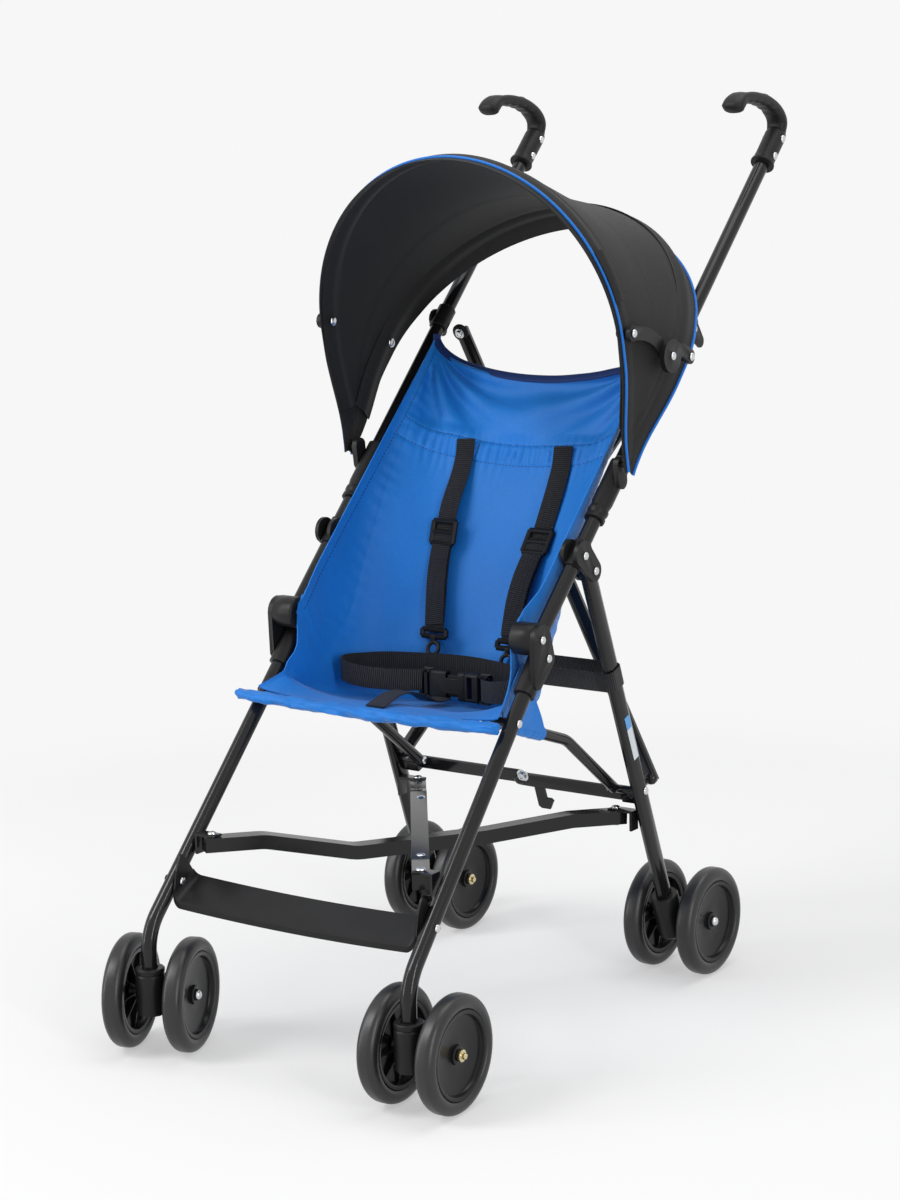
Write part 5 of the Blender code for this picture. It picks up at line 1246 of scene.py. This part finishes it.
def canopy_rivets():
    """Inner heads of the rivets that hold the stay arms, through cloth and hoop."""
    outline = [(0.0, 0.0016), (0.0028, 0.0015), (0.0052, 0.0006), (0.0056, 0.0), (0.0, -0.0004)]
    arms = (("front", HOOP_FRONT_ANGLE, ARM_REACH_FRONT, "canopy_front"),
            ("rear", HOOP_REAR_ANGLE, ARM_REACH_REAR, "frame_left"))
    for side, sign in SIDES:
        for name, angle, reach, body in arms:
            seat = at(sign * (HOOP_HALF_WIDTH - STAY_RIVET_INSIDE), CLIP + turned_by(angle) * reach)
            made = turned_piece(f"canopy_rivet_{name}_{side}", seat, Vector((-sign, 0, 0)), outline, ZINC, 20)
            soften_canopy(attach(made, body, "black_steel"))


# Seat


def between(stops, share):
    """The values that stand at this share in a list of (share, values)."""
    for low, high in zip(stops, stops[1:]):
        if share <= high[0]:
            part = (share - low[0]) / (high[0] - low[0])
            return [a + (b - a) * part for a, b in zip(low[1:], high[1:])]
    return list(stops[-1][1:])


def smooth_between(stops, share, reach=0.02):
    """The same, averaged over a short stretch so that the cloth has no creases at the stops."""
    low = between(stops, max(0.0, share - reach))
    here = between(stops, share)
    high = between(stops, min(1.0, share + reach))
    return [(a + 2 * b + c) / 4 for a, b, c in zip(low, here, high)]


# Stops down the sling: share of its length, y and z, and at the edge also its half width
SEAT_EDGE = (
    (0.00, *on_handle(SEAT_TOP_ALONG, SEAT_EDGE_AHEAD), SEAT_HALF_WIDTH),
    (0.58, *on_handle(0.060, SEAT_EDGE_AHEAD + 0.003), SEAT_HALF_WIDTH),
    (0.64, *on_handle(0.026, SEAT_EDGE_AHEAD + 0.008), SEAT_PIVOT_HALF_WIDTH),
    (0.70, *on_handle(-0.004, SEAT_EDGE_AHEAD + 0.008), SEAT_PIVOT_HALF_WIDTH),
    (0.75, *on_leg(LEG_RUN - 0.024, 0.008), SEAT_PIVOT_HALF_WIDTH),
    (0.80, *on_leg(LEG_RUN - 0.045, 0.008), SEAT_LEG_HALF_WIDTH),
    (0.93, *on_leg(RAIL_FRONT_ALONG + 0.024, 0.006), SEAT_LEG_HALF_WIDTH),
    (1.00, SEAT_FRONT_Y + CENTRING_Y + 0.0040, SEAT_FRONT_Z + 0.0085, SEAT_FRONT_HALF_WIDTH),
)
SEAT_MIDDLE = tuple((share, y + CENTRING_Y, z) for share, y, z in (
    (0.00, 0.1440, 0.6990), (0.20, 0.1010, 0.6230), (0.42, 0.0420, 0.4960), (0.60, -0.0010, 0.3990),
    (0.68, -0.0120, 0.3560), (0.74, -0.0380, 0.3430), (0.85, -0.1060, 0.3520), (0.93, -0.1600, 0.3668),
    (1.00, SEAT_FRONT_Y + 0.0040, SEAT_FRONT_Z)))


def sling_squareness(share):
    """How square the sling's cross section is, for its depth and for its height."""
    low = max(0.0, min(1.0, (share - 0.35) / 0.35))
    front = max(0.0, min(1.0, (share - 0.78) / 0.15))
    return 2.0 + 0.4 * low, 2.0 + 3.0 * low - 2.8 * front


def on_sling(x, share, ahead=0.0):
    """The point of the plain sling at this x and share of its length, moved ahead by a little."""
    edge_y, edge_z, half = smooth_between(SEAT_EDGE, share)
    middle_y, middle_z = smooth_between(SEAT_MIDDLE, share)
    wide = min(1.0, abs(x) / half)
    lift_y, lift_z = [1 - (1 - wide ** n) ** (1 / n) for n in sling_squareness(share)]
    flat = Vector((middle_y + (edge_y - middle_y) * lift_y, middle_z + (edge_z - middle_z) * lift_z))
    return point(x, flat + HANDLE_AHEAD * ahead)


def back_relief(x, share):
    """Height of the back's folds: pulls at its corners, a gathered band and its hems."""
    down = share * SLING_LENGTH
    height = 0.0
    # Folds that fan out from the top corners
    for side, pull in ((1, 0.75), (-1, 1.0)):
        across = SEAT_HALF_WIDTH - side * x
        reach = math.hypot(across, down)
        angle = math.atan2(down, across)
        fold = math.sin(angle * 13.0 + side * 0.7 + 2.0 * reach / 0.15)
        fold = math.copysign(abs(fold) ** 0.8, fold)
        height += pull * 0.0062 * fold * smooth_step(reach, 0.015, 0.06) * math.exp(-((reach / 0.135) ** 2))
    # Loose folds between the top hem and the band
    above_band = smooth_step(share, 0.02, 0.10) * (1 - smooth_step(share, 0.16, 0.20))
    height += 0.0052 * math.sin(x * 30 + down * 12 + 0.6) * above_band
    # The band, which puckers and stands up between two pulled-in seams
    jitter = noise.noise(Vector((x * 60, down * 20, 2.0)))
    pucker = math.sin(x * 2 * math.pi / 0.0105 + 3.0 * jitter)
    inside = smooth_step(share, BAND_TOP - 0.004, BAND_TOP + 0.006)
    inside *= 1 - smooth_step(share, BAND_LOW - 0.006, BAND_LOW + 0.004)
    near = bell(share, BAND_LOW, 0.034) if share > BAND_LOW else 0.0
    near += bell(share, BAND_TOP, 0.026) if share < BAND_TOP else 0.0
    ends = 1 - smooth_step(abs(x), SEAT_HALF_WIDTH * 0.75, SEAT_HALF_WIDTH)
    height += ends * pucker * (0.0013 * inside + 0.0006 * near)
    height += 0.0011 * inside * ends
    for line in (BAND_TOP, BAND_LOW):
        height -= 0.0010 * bell(share, line, 0.0022)
    # Side hems
    edge = SEAT_HALF_WIDTH - abs(x)
    height -= 0.0007 * bell(edge, HEM_WIDTH, 0.0013)
    height += 0.0004 * math.sin(down * 2 * math.pi / 0.016 + 2 * jitter) * bell(edge, HEM_WIDTH * 0.8, 0.010)
    # Broad, soft waves further down
    low = smooth_step(share, 0.26, 0.50)
    height += low * 0.0030 * math.sin(x * 22 - down * 9 + 1.2) * smooth_step(edge, 0.0, 0.05)
    height += low * 0.0022 * math.sin(x * 36 + 5 * noise.noise(Vector((x * 4, down * 5, 7.0))))
    broad = noise.noise(Vector((x * 10, down * 8, 0.5)))
    fine = noise.noise(Vector((x * 28, down * 22, 4.0)))
    height += 0.0020 * broad + 0.0007 * fine
    return height * smooth_step(edge, -0.001, 0.010)


def sling_grid(first, last, rows, columns, relief):
    """Points of the sling between two shares of its length, raised by the relief, and its unit normals."""
    shares = [first + (last - first) * i / rows for i in range(rows + 1)]
    plain = []
    for share in shares:
        half = smooth_between(SEAT_EDGE, share)[2]
        square = sling_squareness(share)[1]
        row = []
        for j in range(columns + 1):
            place = 2 * j / columns - 1
            even = abs(place)
            packed = math.sin(math.pi / 2 * even) ** (2 / square)
            row.append(on_sling(half * math.copysign(0.5 * even + 0.5 * packed, place), share))
        plain.append(row)
    points = grid_of(plain)
    normal = grid_normals(points)
    if normal[rows // 2, columns // 2, 2] < 0:
        normal = -normal
    for i, share in enumerate(shares):
        for j in range(columns + 1):
            points[i, j] += normal[i, j] * relief(points[i, j, 0], share)
    return points, normal


def base_relief(x, share):
    """Height of the base's soft folds above its plain shape."""
    down = share * SLING_LENGTH
    height = 0.0022 * noise.noise(Vector((x * 11, down * 12, 3.0)))
    height += 0.0008 * noise.noise(Vector((x * 30, down * 26, 6.0)))
    height += 0.0016 * math.sin(x * 34 + 2.0) * smooth_step(share, 0.70, 0.80)
    height *= 1 - smooth_step(share, 0.97, 1.0)
    return height * smooth_step(SEAT_LEG_HALF_WIDTH - abs(x), -0.002, 0.012)


def stitches(name, path, lift, body, length=0.0030, gap=0.0018, width=0.0007):
    """A row of short stitches along a path of (point, normal)."""
    shapes = []
    spots = run_lengths([place for place, _ in path])
    start, k = 0.0, 0
    while start + length < spots[-1]:
        ends = []
        for goal in (start, start + length):
            k, part = find_run(spots, goal, k)
            ends.append(path[k][0].lerp(path[k + 1][0], part) + path[k][1] * lift)
        normal = path[k][1]
        side = (ends[1] - ends[0]).normalized().cross(normal) * (width / 2)
        middle = (ends[0] + ends[1]) / 2 + normal * 0.0004
        ring = [ends[0], ends[0] + side, ends[1] + side, ends[1], ends[1] - side, ends[0] - side]
        top = [p.lerp(middle, 0.25) + normal * 0.0004 for p in ring]
        faces = [tuple(range(6, 12)), tuple(reversed(range(6)))]
        faces += [(i, (i + 1) % 6, 6 + (i + 1) % 6, 6 + i) for i in range(6)]
        shapes.append((ring + top, faces, [(0.0, 0.0)] * 12))
        start += length + gap
    return soften_sides(attach(joined(name, shapes, THREAD, 60), body, "seat_cloth"))


def hem_path(back, normal, sign):
    """Points and normals that lie one hem width in from the edge of the back, measured on the cloth."""
    path = []
    for line, facing in zip(back[4:-7], normal[4:-7]):
        if line[0, 0] * sign < 0:
            line, facing = line[::-1], facing[::-1]
        lengths = np.concatenate([[0], np.cumsum(np.linalg.norm(np.diff(line, axis=0), axis=1))])
        place = Vector([np.interp(HEM_WIDTH, lengths, line[:, k]) for k in range(3)])
        out = Vector([np.interp(HEM_WIDTH, lengths, facing[:, k]) for k in range(3)])
        path.append((place + MIDDLE, out.normalized()))
    return path


def seat():
    back, normal = sling_grid(0.0, SEAT_BACK_END, BACK_ROWS, BACK_COLUMNS, back_relief)
    made = rows_to_shell("seat_back", placed_rows(back), SEAT_THICKNESS, BLUE, (0, -0.7, 0.7))
    attach(made, "frame_left", "seat_cloth", "seat")
    soften_sides(made)
    for name, share in (("upper", BAND_TOP), ("lower", BAND_LOW)):
        row = round(share / SEAT_BACK_END * BACK_ROWS)
        path = [(Vector(p) + MIDDLE, Vector(n)) for p, n in zip(back[row][4:-4], normal[row][4:-4])]
        stitches(f"band_stitches_{name}", path, SEAT_THICKNESS / 2, "frame_left")
    for name, sign in SIDES:
        stitches(f"hem_stitches_{name}", hem_path(back, normal, sign), SEAT_THICKNESS / 2, "frame_left")
    path = placed([Vector(p) for p in back[0]])
    section = flat_oval(BINDING_WIDTH, BINDING_THICKNESS, 6)
    binding = sweep_piece("seat_top_binding", path, section, point(0, HANDLE_DIRECTION), NAVY)
    soften_sides(attach(binding, "frame_left", "seat_cloth"))
    base, base_normal = sling_grid(SEAT_BASE_START, SEAT_BASE_END, BASE_ROWS, BASE_COLUMNS, base_relief)
    for i in range(BASE_TUCK_ROWS):
        base[i] -= base_normal[i] * BASE_TUCK * (1 - smooth_step(i, 6, BASE_TUCK_ROWS - 1))
    made = rows_to_shell("seat_base", placed_rows(base), SEAT_THICKNESS, BLUE, (0, 0, 1))
    attach(made, "seat_rail_left", "seat_cloth")
    soften_sides(made)
    front_roll()
    wings()


def wings():
    """Cloth that comes down inside each front leg and wraps the seat rail."""
    steps = 24
    rail_way = (RAIL_BEND - RAIL_FRONT).normalized()
    leg_stretch = LEG_RUN - RAIL_FRONT_ALONG - 0.020
    for side, sign in SIDES:
        rows = []
        for i in range(steps + 1):
            down = i / steps
            row = []
            for j in range(steps + 1):
                along = j / steps
                top = on_leg(RAIL_FRONT_ALONG + 0.012 + leg_stretch * along, 0.004)
                low = RAIL_FRONT + rail_way * (0.012 + 0.090 * along)
                flat = top.lerp(low, down) + Vector((0.004 * math.sin(math.pi * down) * along, 0))
                ripple = 0.0016 * math.sin(along * 9 + down * 5) * math.sin(math.pi * down)
                row.append(point(sign * (WING_X - 0.0040 * down + ripple), flat))
            rows.append(placed(row))
        made = rows_to_shell(f"seat_wing_{side}", rows, SEAT_THICKNESS, BLUE, (sign, 0, 0))
        attach(made, f"seat_rail_{side}", "seat_cloth")
        path = []
        for i in range(41):
            along = RAIL_LOOP_START + RAIL_LOOP_LENGTH * i / 40
            path.append(at(sign * RAIL_X, RAIL_FRONT + rail_way * along))
        scales = [1 + 0.10 * noise.noise(Vector((i * 0.35, sign, 0.5))) for i in range(41)]
        scales[0] -= 0.12
        scales[-1] -= 0.12
        section = circle(RAIL_RADIUS + RAIL_LOOP_CLEARANCE, 24)
        loop = sweep_piece(f"rail_loop_{side}", path, section, ACROSS, BLUE, scales)
        attach(loop, f"seat_rail_{side}", "seat_cloth")


def front_roll():
    """The crumpled hem that wraps the front edge of the base."""
    steps, around = 170, 26
    points, uvs = [], []
    for i in range(steps + 1):
        share = i / steps
        x = ROLL_START_X + ROLL_LENGTH * share
        sag = 0.0030 * math.cos(x / 0.190 * math.pi / 2)
        centre = Vector((x, SEAT_FRONT_Y + CENTRING_Y, SEAT_FRONT_Z - sag))
        swell = 0.88 + 0.12 * math.sin(math.pi * share) ** 0.5
        if share in (0.0, 1.0):
            swell *= 0.55
        for k in range(around):
            a = 2 * math.pi * k / around
            crease = 0.0020 * noise.noise(Vector((x * 42, math.cos(a) * 1.6, math.sin(a) * 1.6)))
            crease += 0.0011 * noise.noise(Vector((x * 95, math.cos(a) * 3 + 5, math.sin(a) * 3)))
            fold = 0.0010 * math.sin(x * 2 * math.pi / 0.050 + 2.4 * math.sin(a)) * math.cos(a)
            wide = (ROLL_HALF_DEPTH + crease + fold) * swell
            tall = (ROLL_HALF_HEIGHT + crease + fold) * swell
            shift = 0.003 * noise.noise(Vector((a, x * 30, 1)))
            points.append(centre + Vector((shift, wide * math.cos(a), tall * math.sin(a))))
            uvs.append((x, a * 0.008))
    faces = tube_faces(steps + 1, around)
    made = mesh_piece("seat_front_roll", placed(points), faces, BLUE, uvs, 60)
    soften_sides(attach(made, "seat_rail_left", "seat_cloth"))


# Harness


def webbing_piece(name, path, body, across, *nodes):
    """A flat strap with softly rounded selvedges."""
    section = flat_oval(WEBBING_WIDTH, WEBBING_THICKNESS, 4)
    made = sweep_piece(name, placed(path), section, across, WEBBING, sharp=60)
    return soften_sides(attach(made, body, "webbing", *nodes))


def fitting(name, shapes, body):
    """A black plastic fitting of the harness."""
    return attach(joined(name, placed_shapes(shapes), BUCKLE, 50), body, "black_plastic")


def frame_shape(centre, wide, tall, way, across, bar=0.0066, thick=0.0066, middle=True):
    """A ladder-lock frame: four bars round a slot, and a middle bar."""
    normal = way.cross(across)
    out, up = across * wide / 2, way * tall / 2
    ends = []
    for sign in (-1, 1):
        ends.append((centre + out * sign - up, centre + out * sign + up))
        ends.append((centre - out + up * sign, centre + out + up * sign))
    if middle:
        ends.append((centre - out, centre + out))
    section = flat_oval(bar, thick, 4)
    return [sweep_points([a, b], section, normal.cross((b - a).normalized())) for a, b in ends]


def ring_shape(centre, axis, radius, wire):
    side = axis.orthogonal().normalized()
    ahead = axis.cross(side)
    angles = [2 * math.pi * i / 28 for i in range(28)]
    path = [centre + (side * math.cos(a) + ahead * math.sin(a)) * radius for a in angles]
    return sweep_points(path, circle(wire, 10), axis, closed=True)


def shoulder_path(sign):
    """The way of one shoulder strap down the seat's back, just over its folds."""
    half = WEBBING_WIDTH / 2
    stops = []
    for i in range(12):
        t = i / 11
        x = sign * (STRAP_TOP_X + (STRAP_HOOK_X - STRAP_TOP_X) * t ** 1.6)
        share = STRAP_START_SHARE + STRAP_SHARE_LENGTH * t
        relief = max(back_relief(x + edge, share) for edge in (-half, -0.006, 0.0, 0.006, half))
        slack = (0.0060 + 0.0030 * math.sin(t * 9 + sign)) * smooth_step(t, 0.05, 0.4)
        ahead = relief + STRAP_LIFT + slack
        stops.append(on_sling(x + 0.0035 * math.sin(t * 7 - sign * 0.6), share, ahead))
    return smooth_path(stops, STRAP_STEPS)


def shoulder_straps():
    """Straps with the doubled end, the strap slider and the swivel hook of each."""
    ahead = point(0, HANDLE_AHEAD)
    middle, last = STRAP_STEPS // 2, STRAP_STEPS
    neck = [(0, 0), (0.0052, 0), (0.0052, 0.0022), (0.0036, 0.0040), (0.0030, 0.0075), (0, 0.0075)]
    for side, sign in SIDES:
        path = shoulder_path(sign)
        webbing_piece(f"shoulder_webbing_{side}", path, "frame_left", ACROSS, f"shoulder_strap_{side}")
        loop = []
        for i in range(LOOP_START_STEP, LOOP_END_STEP + 1):
            share = (i - LOOP_START_STEP) / (LOOP_END_STEP - LOOP_START_STEP)
            loop.append(path[i] + ahead * (0.0022 + 0.0035 * math.sin(math.pi * share)))
        webbing_piece(f"shoulder_loop_{side}", loop, "frame_left", ACROSS)
        way = (path[middle + 2] - path[middle - 2]).normalized()
        shapes = frame_shape(path[middle] + ahead * 0.0024, SLIDER_WIDTH, SLIDER_LENGTH, way, ACROSS)
        soften_sides(fitting(f"slider_{side}", shapes, "frame_left"))
        down = (path[last] - path[last - 4]).normalized()
        top = path[last] + down * 0.0040
        shapes = frame_shape(top, HOOK_HEAD_WIDTH, 0.0080, down, ACROSS, middle=False)
        shapes.append(turned_points(top + down * 0.0040, down, neck, 16))
        ring = ring_shape(top + down * 0.0185, down.cross(ACROSS), HOOK_RING_RADIUS, HOOK_RING_WIRE)
        shapes.append(ring)
        soften_sides(fitting(f"swivel_hook_{side}", shapes, "frame_left"))


def waist_and_crotch():
    """Waist belt with its ladder locks, and the crotch strap under the buckle."""
    half = BUCKLE_LENGTH / 2
    upright = Vector((0, 0, 1))
    left = [Vector(p) for p in BELT_STOPS]
    right = [Vector((-p.x, p.y, p.z)) for p in reversed(left)]
    start = Vector((half + BELT_LEFT_END, BUCKLE_Y - 0.004, BUCKLE_Z + 0.0030))
    end = Vector((-half + BELT_RIGHT_END, BUCKLE_Y - 0.004, BUCKLE_Z + 0.0030))
    shift = Vector((0, CENTRING_Y, 0))
    stops = [start] + left + [Vector(BELT_BACK)] + right + [end]
    path = [p + shift for p in smooth_path(stops, 200)]
    webbing_piece("waist_webbing", path, "frame_left", upright, "waist_belt")
    locks = (("left", half + LOCK_LEFT, "buckle_plug"), ("right", -half + LOCK_RIGHT, "harness"))
    for name, x, body in locks:
        centre = Vector((x, BUCKLE_Y, BUCKLE_Z)) + shift
        shapes = frame_shape(centre, SLIDER_WIDTH, LOCK_LENGTH, ACROSS, upright, bar=0.0034, thick=0.0075)
        fitting(f"ladder_lock_{name}", shapes, body)
    stops = []
    for i, share in enumerate(CROTCH_STOPS):
        rise = CROTCH_LIFT + CROTCH_RISE * math.sin(math.pi * i / len(CROTCH_STOPS)) ** 1.5
        stops.append(on_sling(CROTCH_STRAP_X, share) + Vector((0, 0, rise)))
    under_buckle = BUCKLE_Z - BUCKLE_HEIGHT / 2 + 0.0030
    stops.append(Vector((CROTCH_STRAP_X, BUCKLE_Y - 0.0095 + CENTRING_Y, under_buckle)))
    webbing_piece("crotch_webbing", smooth_path(stops, 60), "frame_left", ACROSS, "crotch_strap")


def back_band():
    """Elastic band round both rear legs, behind the sling."""
    run = (REAR_PIVOT.y - ELASTIC_Z) / -REAR_LEG_DIRECTION.y
    centre = point(0, REAR_PIVOT + REAR_LEG_DIRECTION * run)
    behind = point(0, REAR_LEG_BEHIND)
    leg = rear_leg_x(run)
    turn = REAR_LEG_THICKNESS / 2 + ELASTIC_CLEARANCE
    straight = (REAR_LEG_DEPTH - REAR_LEG_THICKNESS) / 2
    quarter = [math.radians(15 * i) for i in range(7)]
    side = [(leg + turn * math.sin(a), -straight - turn * math.cos(a)) for a in quarter]
    side += [(leg + turn * math.cos(a), straight + turn * math.sin(a)) for a in quarter]
    rear_run = [(leg * (1 - 2 * i / 24), straight + turn) for i in range(1, 24)]
    ring = side + rear_run + [(-x, y) for x, y in reversed(side)] + [(-x, -y) for x, y in rear_run]
    path = [centre + Vector((x, 0, 0)) + behind * y for x, y in ring]
    section = flat_oval(WEBBING_WIDTH, ELASTIC_THICKNESS, 3)
    along = point(0, REAR_LEG_DIRECTION)
    made = sweep_piece("elastic_band", placed(path), section, along, WEBBING, closed=True, sharp=60)
    soften_sides(attach(made, "rear_leg_left", "webbing", "back_strap"))


def rear_leg_label():
    """A bare pale strip on the outside of the left rear leg, where the real one has a sticker."""
    strips = (("label_top", 0.190, 0.206, LABEL_BLUE), ("label_strip", 0.206, 0.246, LABEL))
    for name, first, last, finish in strips:
        rows = []
        for i in range(6):
            run = first + (last - first) * i / 5
            x = rear_leg_x(run) + REAR_LEG_THICKNESS / 2 + 0.0003
            middle = REAR_PIVOT + REAR_LEG_DIRECTION * run
            rows.append([at(x, middle + REAR_LEG_BEHIND * 0.0025 * k) for k in range(-2, 3)])
        attach(rows_to_shell(name, rows, 0.0003, finish, (1, 0, 0)), "rear_leg_left", "black_plastic")


# Stage, light and camera


def shown_rays(tree):
    """1 for the rays that show the background: straight to the camera, or by way of metal or glass."""
    rays = node(tree, "ShaderNodeLightPath").outputs
    indirect = maths(tree, "MAXIMUM", rays["Is Glossy Ray"], rays["Is Transmission Ray"])
    return maths(tree, "MAXIMUM", rays["Is Camera Ray"], indirect)


def floor_finish():
    """Matt floor under the stroller that fades to the backdrop's own brightness away from it."""
    shade = (FLOOR_SHADE,) * 3
    made, tree, shader = principled("floor", shade, 1.0, specular=0.0)
    glow = node(tree, "ShaderNodeEmission", Color=(BACKDROP, BACKDROP, BACKDROP, 1), Strength=1.0)
    haze = maths(tree, "MULTIPLY", shown_rays(tree), FLOOR_HAZE)
    place = node(tree, "ShaderNodeTexCoord")
    reach = node(tree, "ShaderNodeVectorMath", operation="LENGTH", Vector=place.outputs["Object"])
    span = node(tree, "ShaderNodeMapRange", interpolation_type="SMOOTHSTEP", Value=reach.outputs["Value"])
    span.inputs["From Min"].default_value = FLOOR_FADE_START
    span.inputs["From Max"].default_value = FLOOR_FADE_END
    mix = node(tree, "ShaderNodeMixShader", Fac=maths(tree, "MAXIMUM", span.outputs["Result"], haze))
    tree.links.new(shader.outputs["BSDF"], mix.inputs[1])
    tree.links.new(glow.outputs["Emission"], mix.inputs[2])
    tree.links.new(mix.outputs["Shader"], tree.nodes["Material Output"].inputs["Surface"])
    return made


def stage():
    mesh = bpy.data.meshes.new("floor")
    size = FLOOR_HALF_SIZE
    corners = [(-size, -size, 0), (size, -size, 0), (size, size, 0), (-size, size, 0)]
    mesh.from_pydata(corners, [], [(0, 1, 2, 3)])
    mesh.materials.append(floor_finish())
    floor = link(bpy.data.objects.new("floor", mesh))
    world = bpy.data.worlds.new("world")
    bpy.context.scene.world = world
    world.use_nodes = True
    tree = world.node_tree
    background = tree.nodes["Background"]
    background.inputs["Color"].default_value = (1, 1, 1, 1)
    background.inputs["Strength"].default_value = WORLD_LIGHT
    shown = node(tree, "ShaderNodeBackground", Color=(1, 1, 1, 1), Strength=BACKDROP)
    mix = node(tree, "ShaderNodeMixShader", Fac=shown_rays(tree))
    tree.links.new(background.outputs["Background"], mix.inputs[1])
    tree.links.new(shown.outputs["Background"], mix.inputs[2])
    tree.links.new(mix.outputs["Shader"], tree.nodes["World Output"].inputs["Surface"])


def lamp(name, place, target, width, height, power):
    light = bpy.data.lights.new(name, "AREA")
    light.shape = "RECTANGLE"
    light.size, light.size_y = width, height
    light.energy = power
    made = link(bpy.data.objects.new(name, light))
    made.location = place
    made.rotation_euler = (Vector(target) - Vector(place)).to_track_quat("-Z", "Y").to_euler()


def lights():
    middle = (0, 0, 0.5)
    lamp("key", (-1.6, -2.4, 3.0), (0, 0, 0.4), width=1.3, height=1.3, power=50)
    lamp("strip_right", (3.0, -1.6, 1.3), middle, width=0.30, height=2.6, power=34)
    lamp("strip_left", (-2.4, -2.6, 1.2), middle, width=0.30, height=2.6, power=32)
    lamp("top", (0.4, 0.6, 3.2), middle, width=2.2, height=2.2, power=34)


def camera():
    """The photograph's own view: place, heading, tilt and lens."""
    data = bpy.data.cameras.new("camera")
    made = link(bpy.data.objects.new("camera", data))
    yaw, pitch = CAMERA_HEADING, CAMERA_TILT
    forward = Vector((-math.sin(yaw) * math.cos(pitch), math.cos(yaw) * math.cos(pitch), -math.sin(pitch)))
    right = forward.cross(Vector((0, 0, 1))).normalized()
    up = right.cross(forward)
    spin = Matrix.Rotation(CAMERA_ROLL, 3, forward)
    right, up = spin @ right, spin @ up
    made.matrix_world = Matrix((
        (right.x, up.x, -forward.x, CAMERA_PLACE[0] - SHIFT_X),
        (right.y, up.y, -forward.y, CAMERA_PLACE[1] + CENTRING_Y),
        (right.z, up.z, -forward.z, CAMERA_PLACE[2]),
        (0, 0, 0, 1)))
    data.sensor_fit = "VERTICAL"
    data.sensor_height = 36.0
    data.lens = CAMERA_LENS
    data.clip_end = 60
    bpy.context.scene.camera = made


bpy.context.scene.view_settings.view_transform = "Standard"
camera()
stage()
lights()
dress_frame()
wheels()
grips()
canopy()
seat()
shoulder_straps()
waist_and_crotch()
back_band()
rear_leg_label()
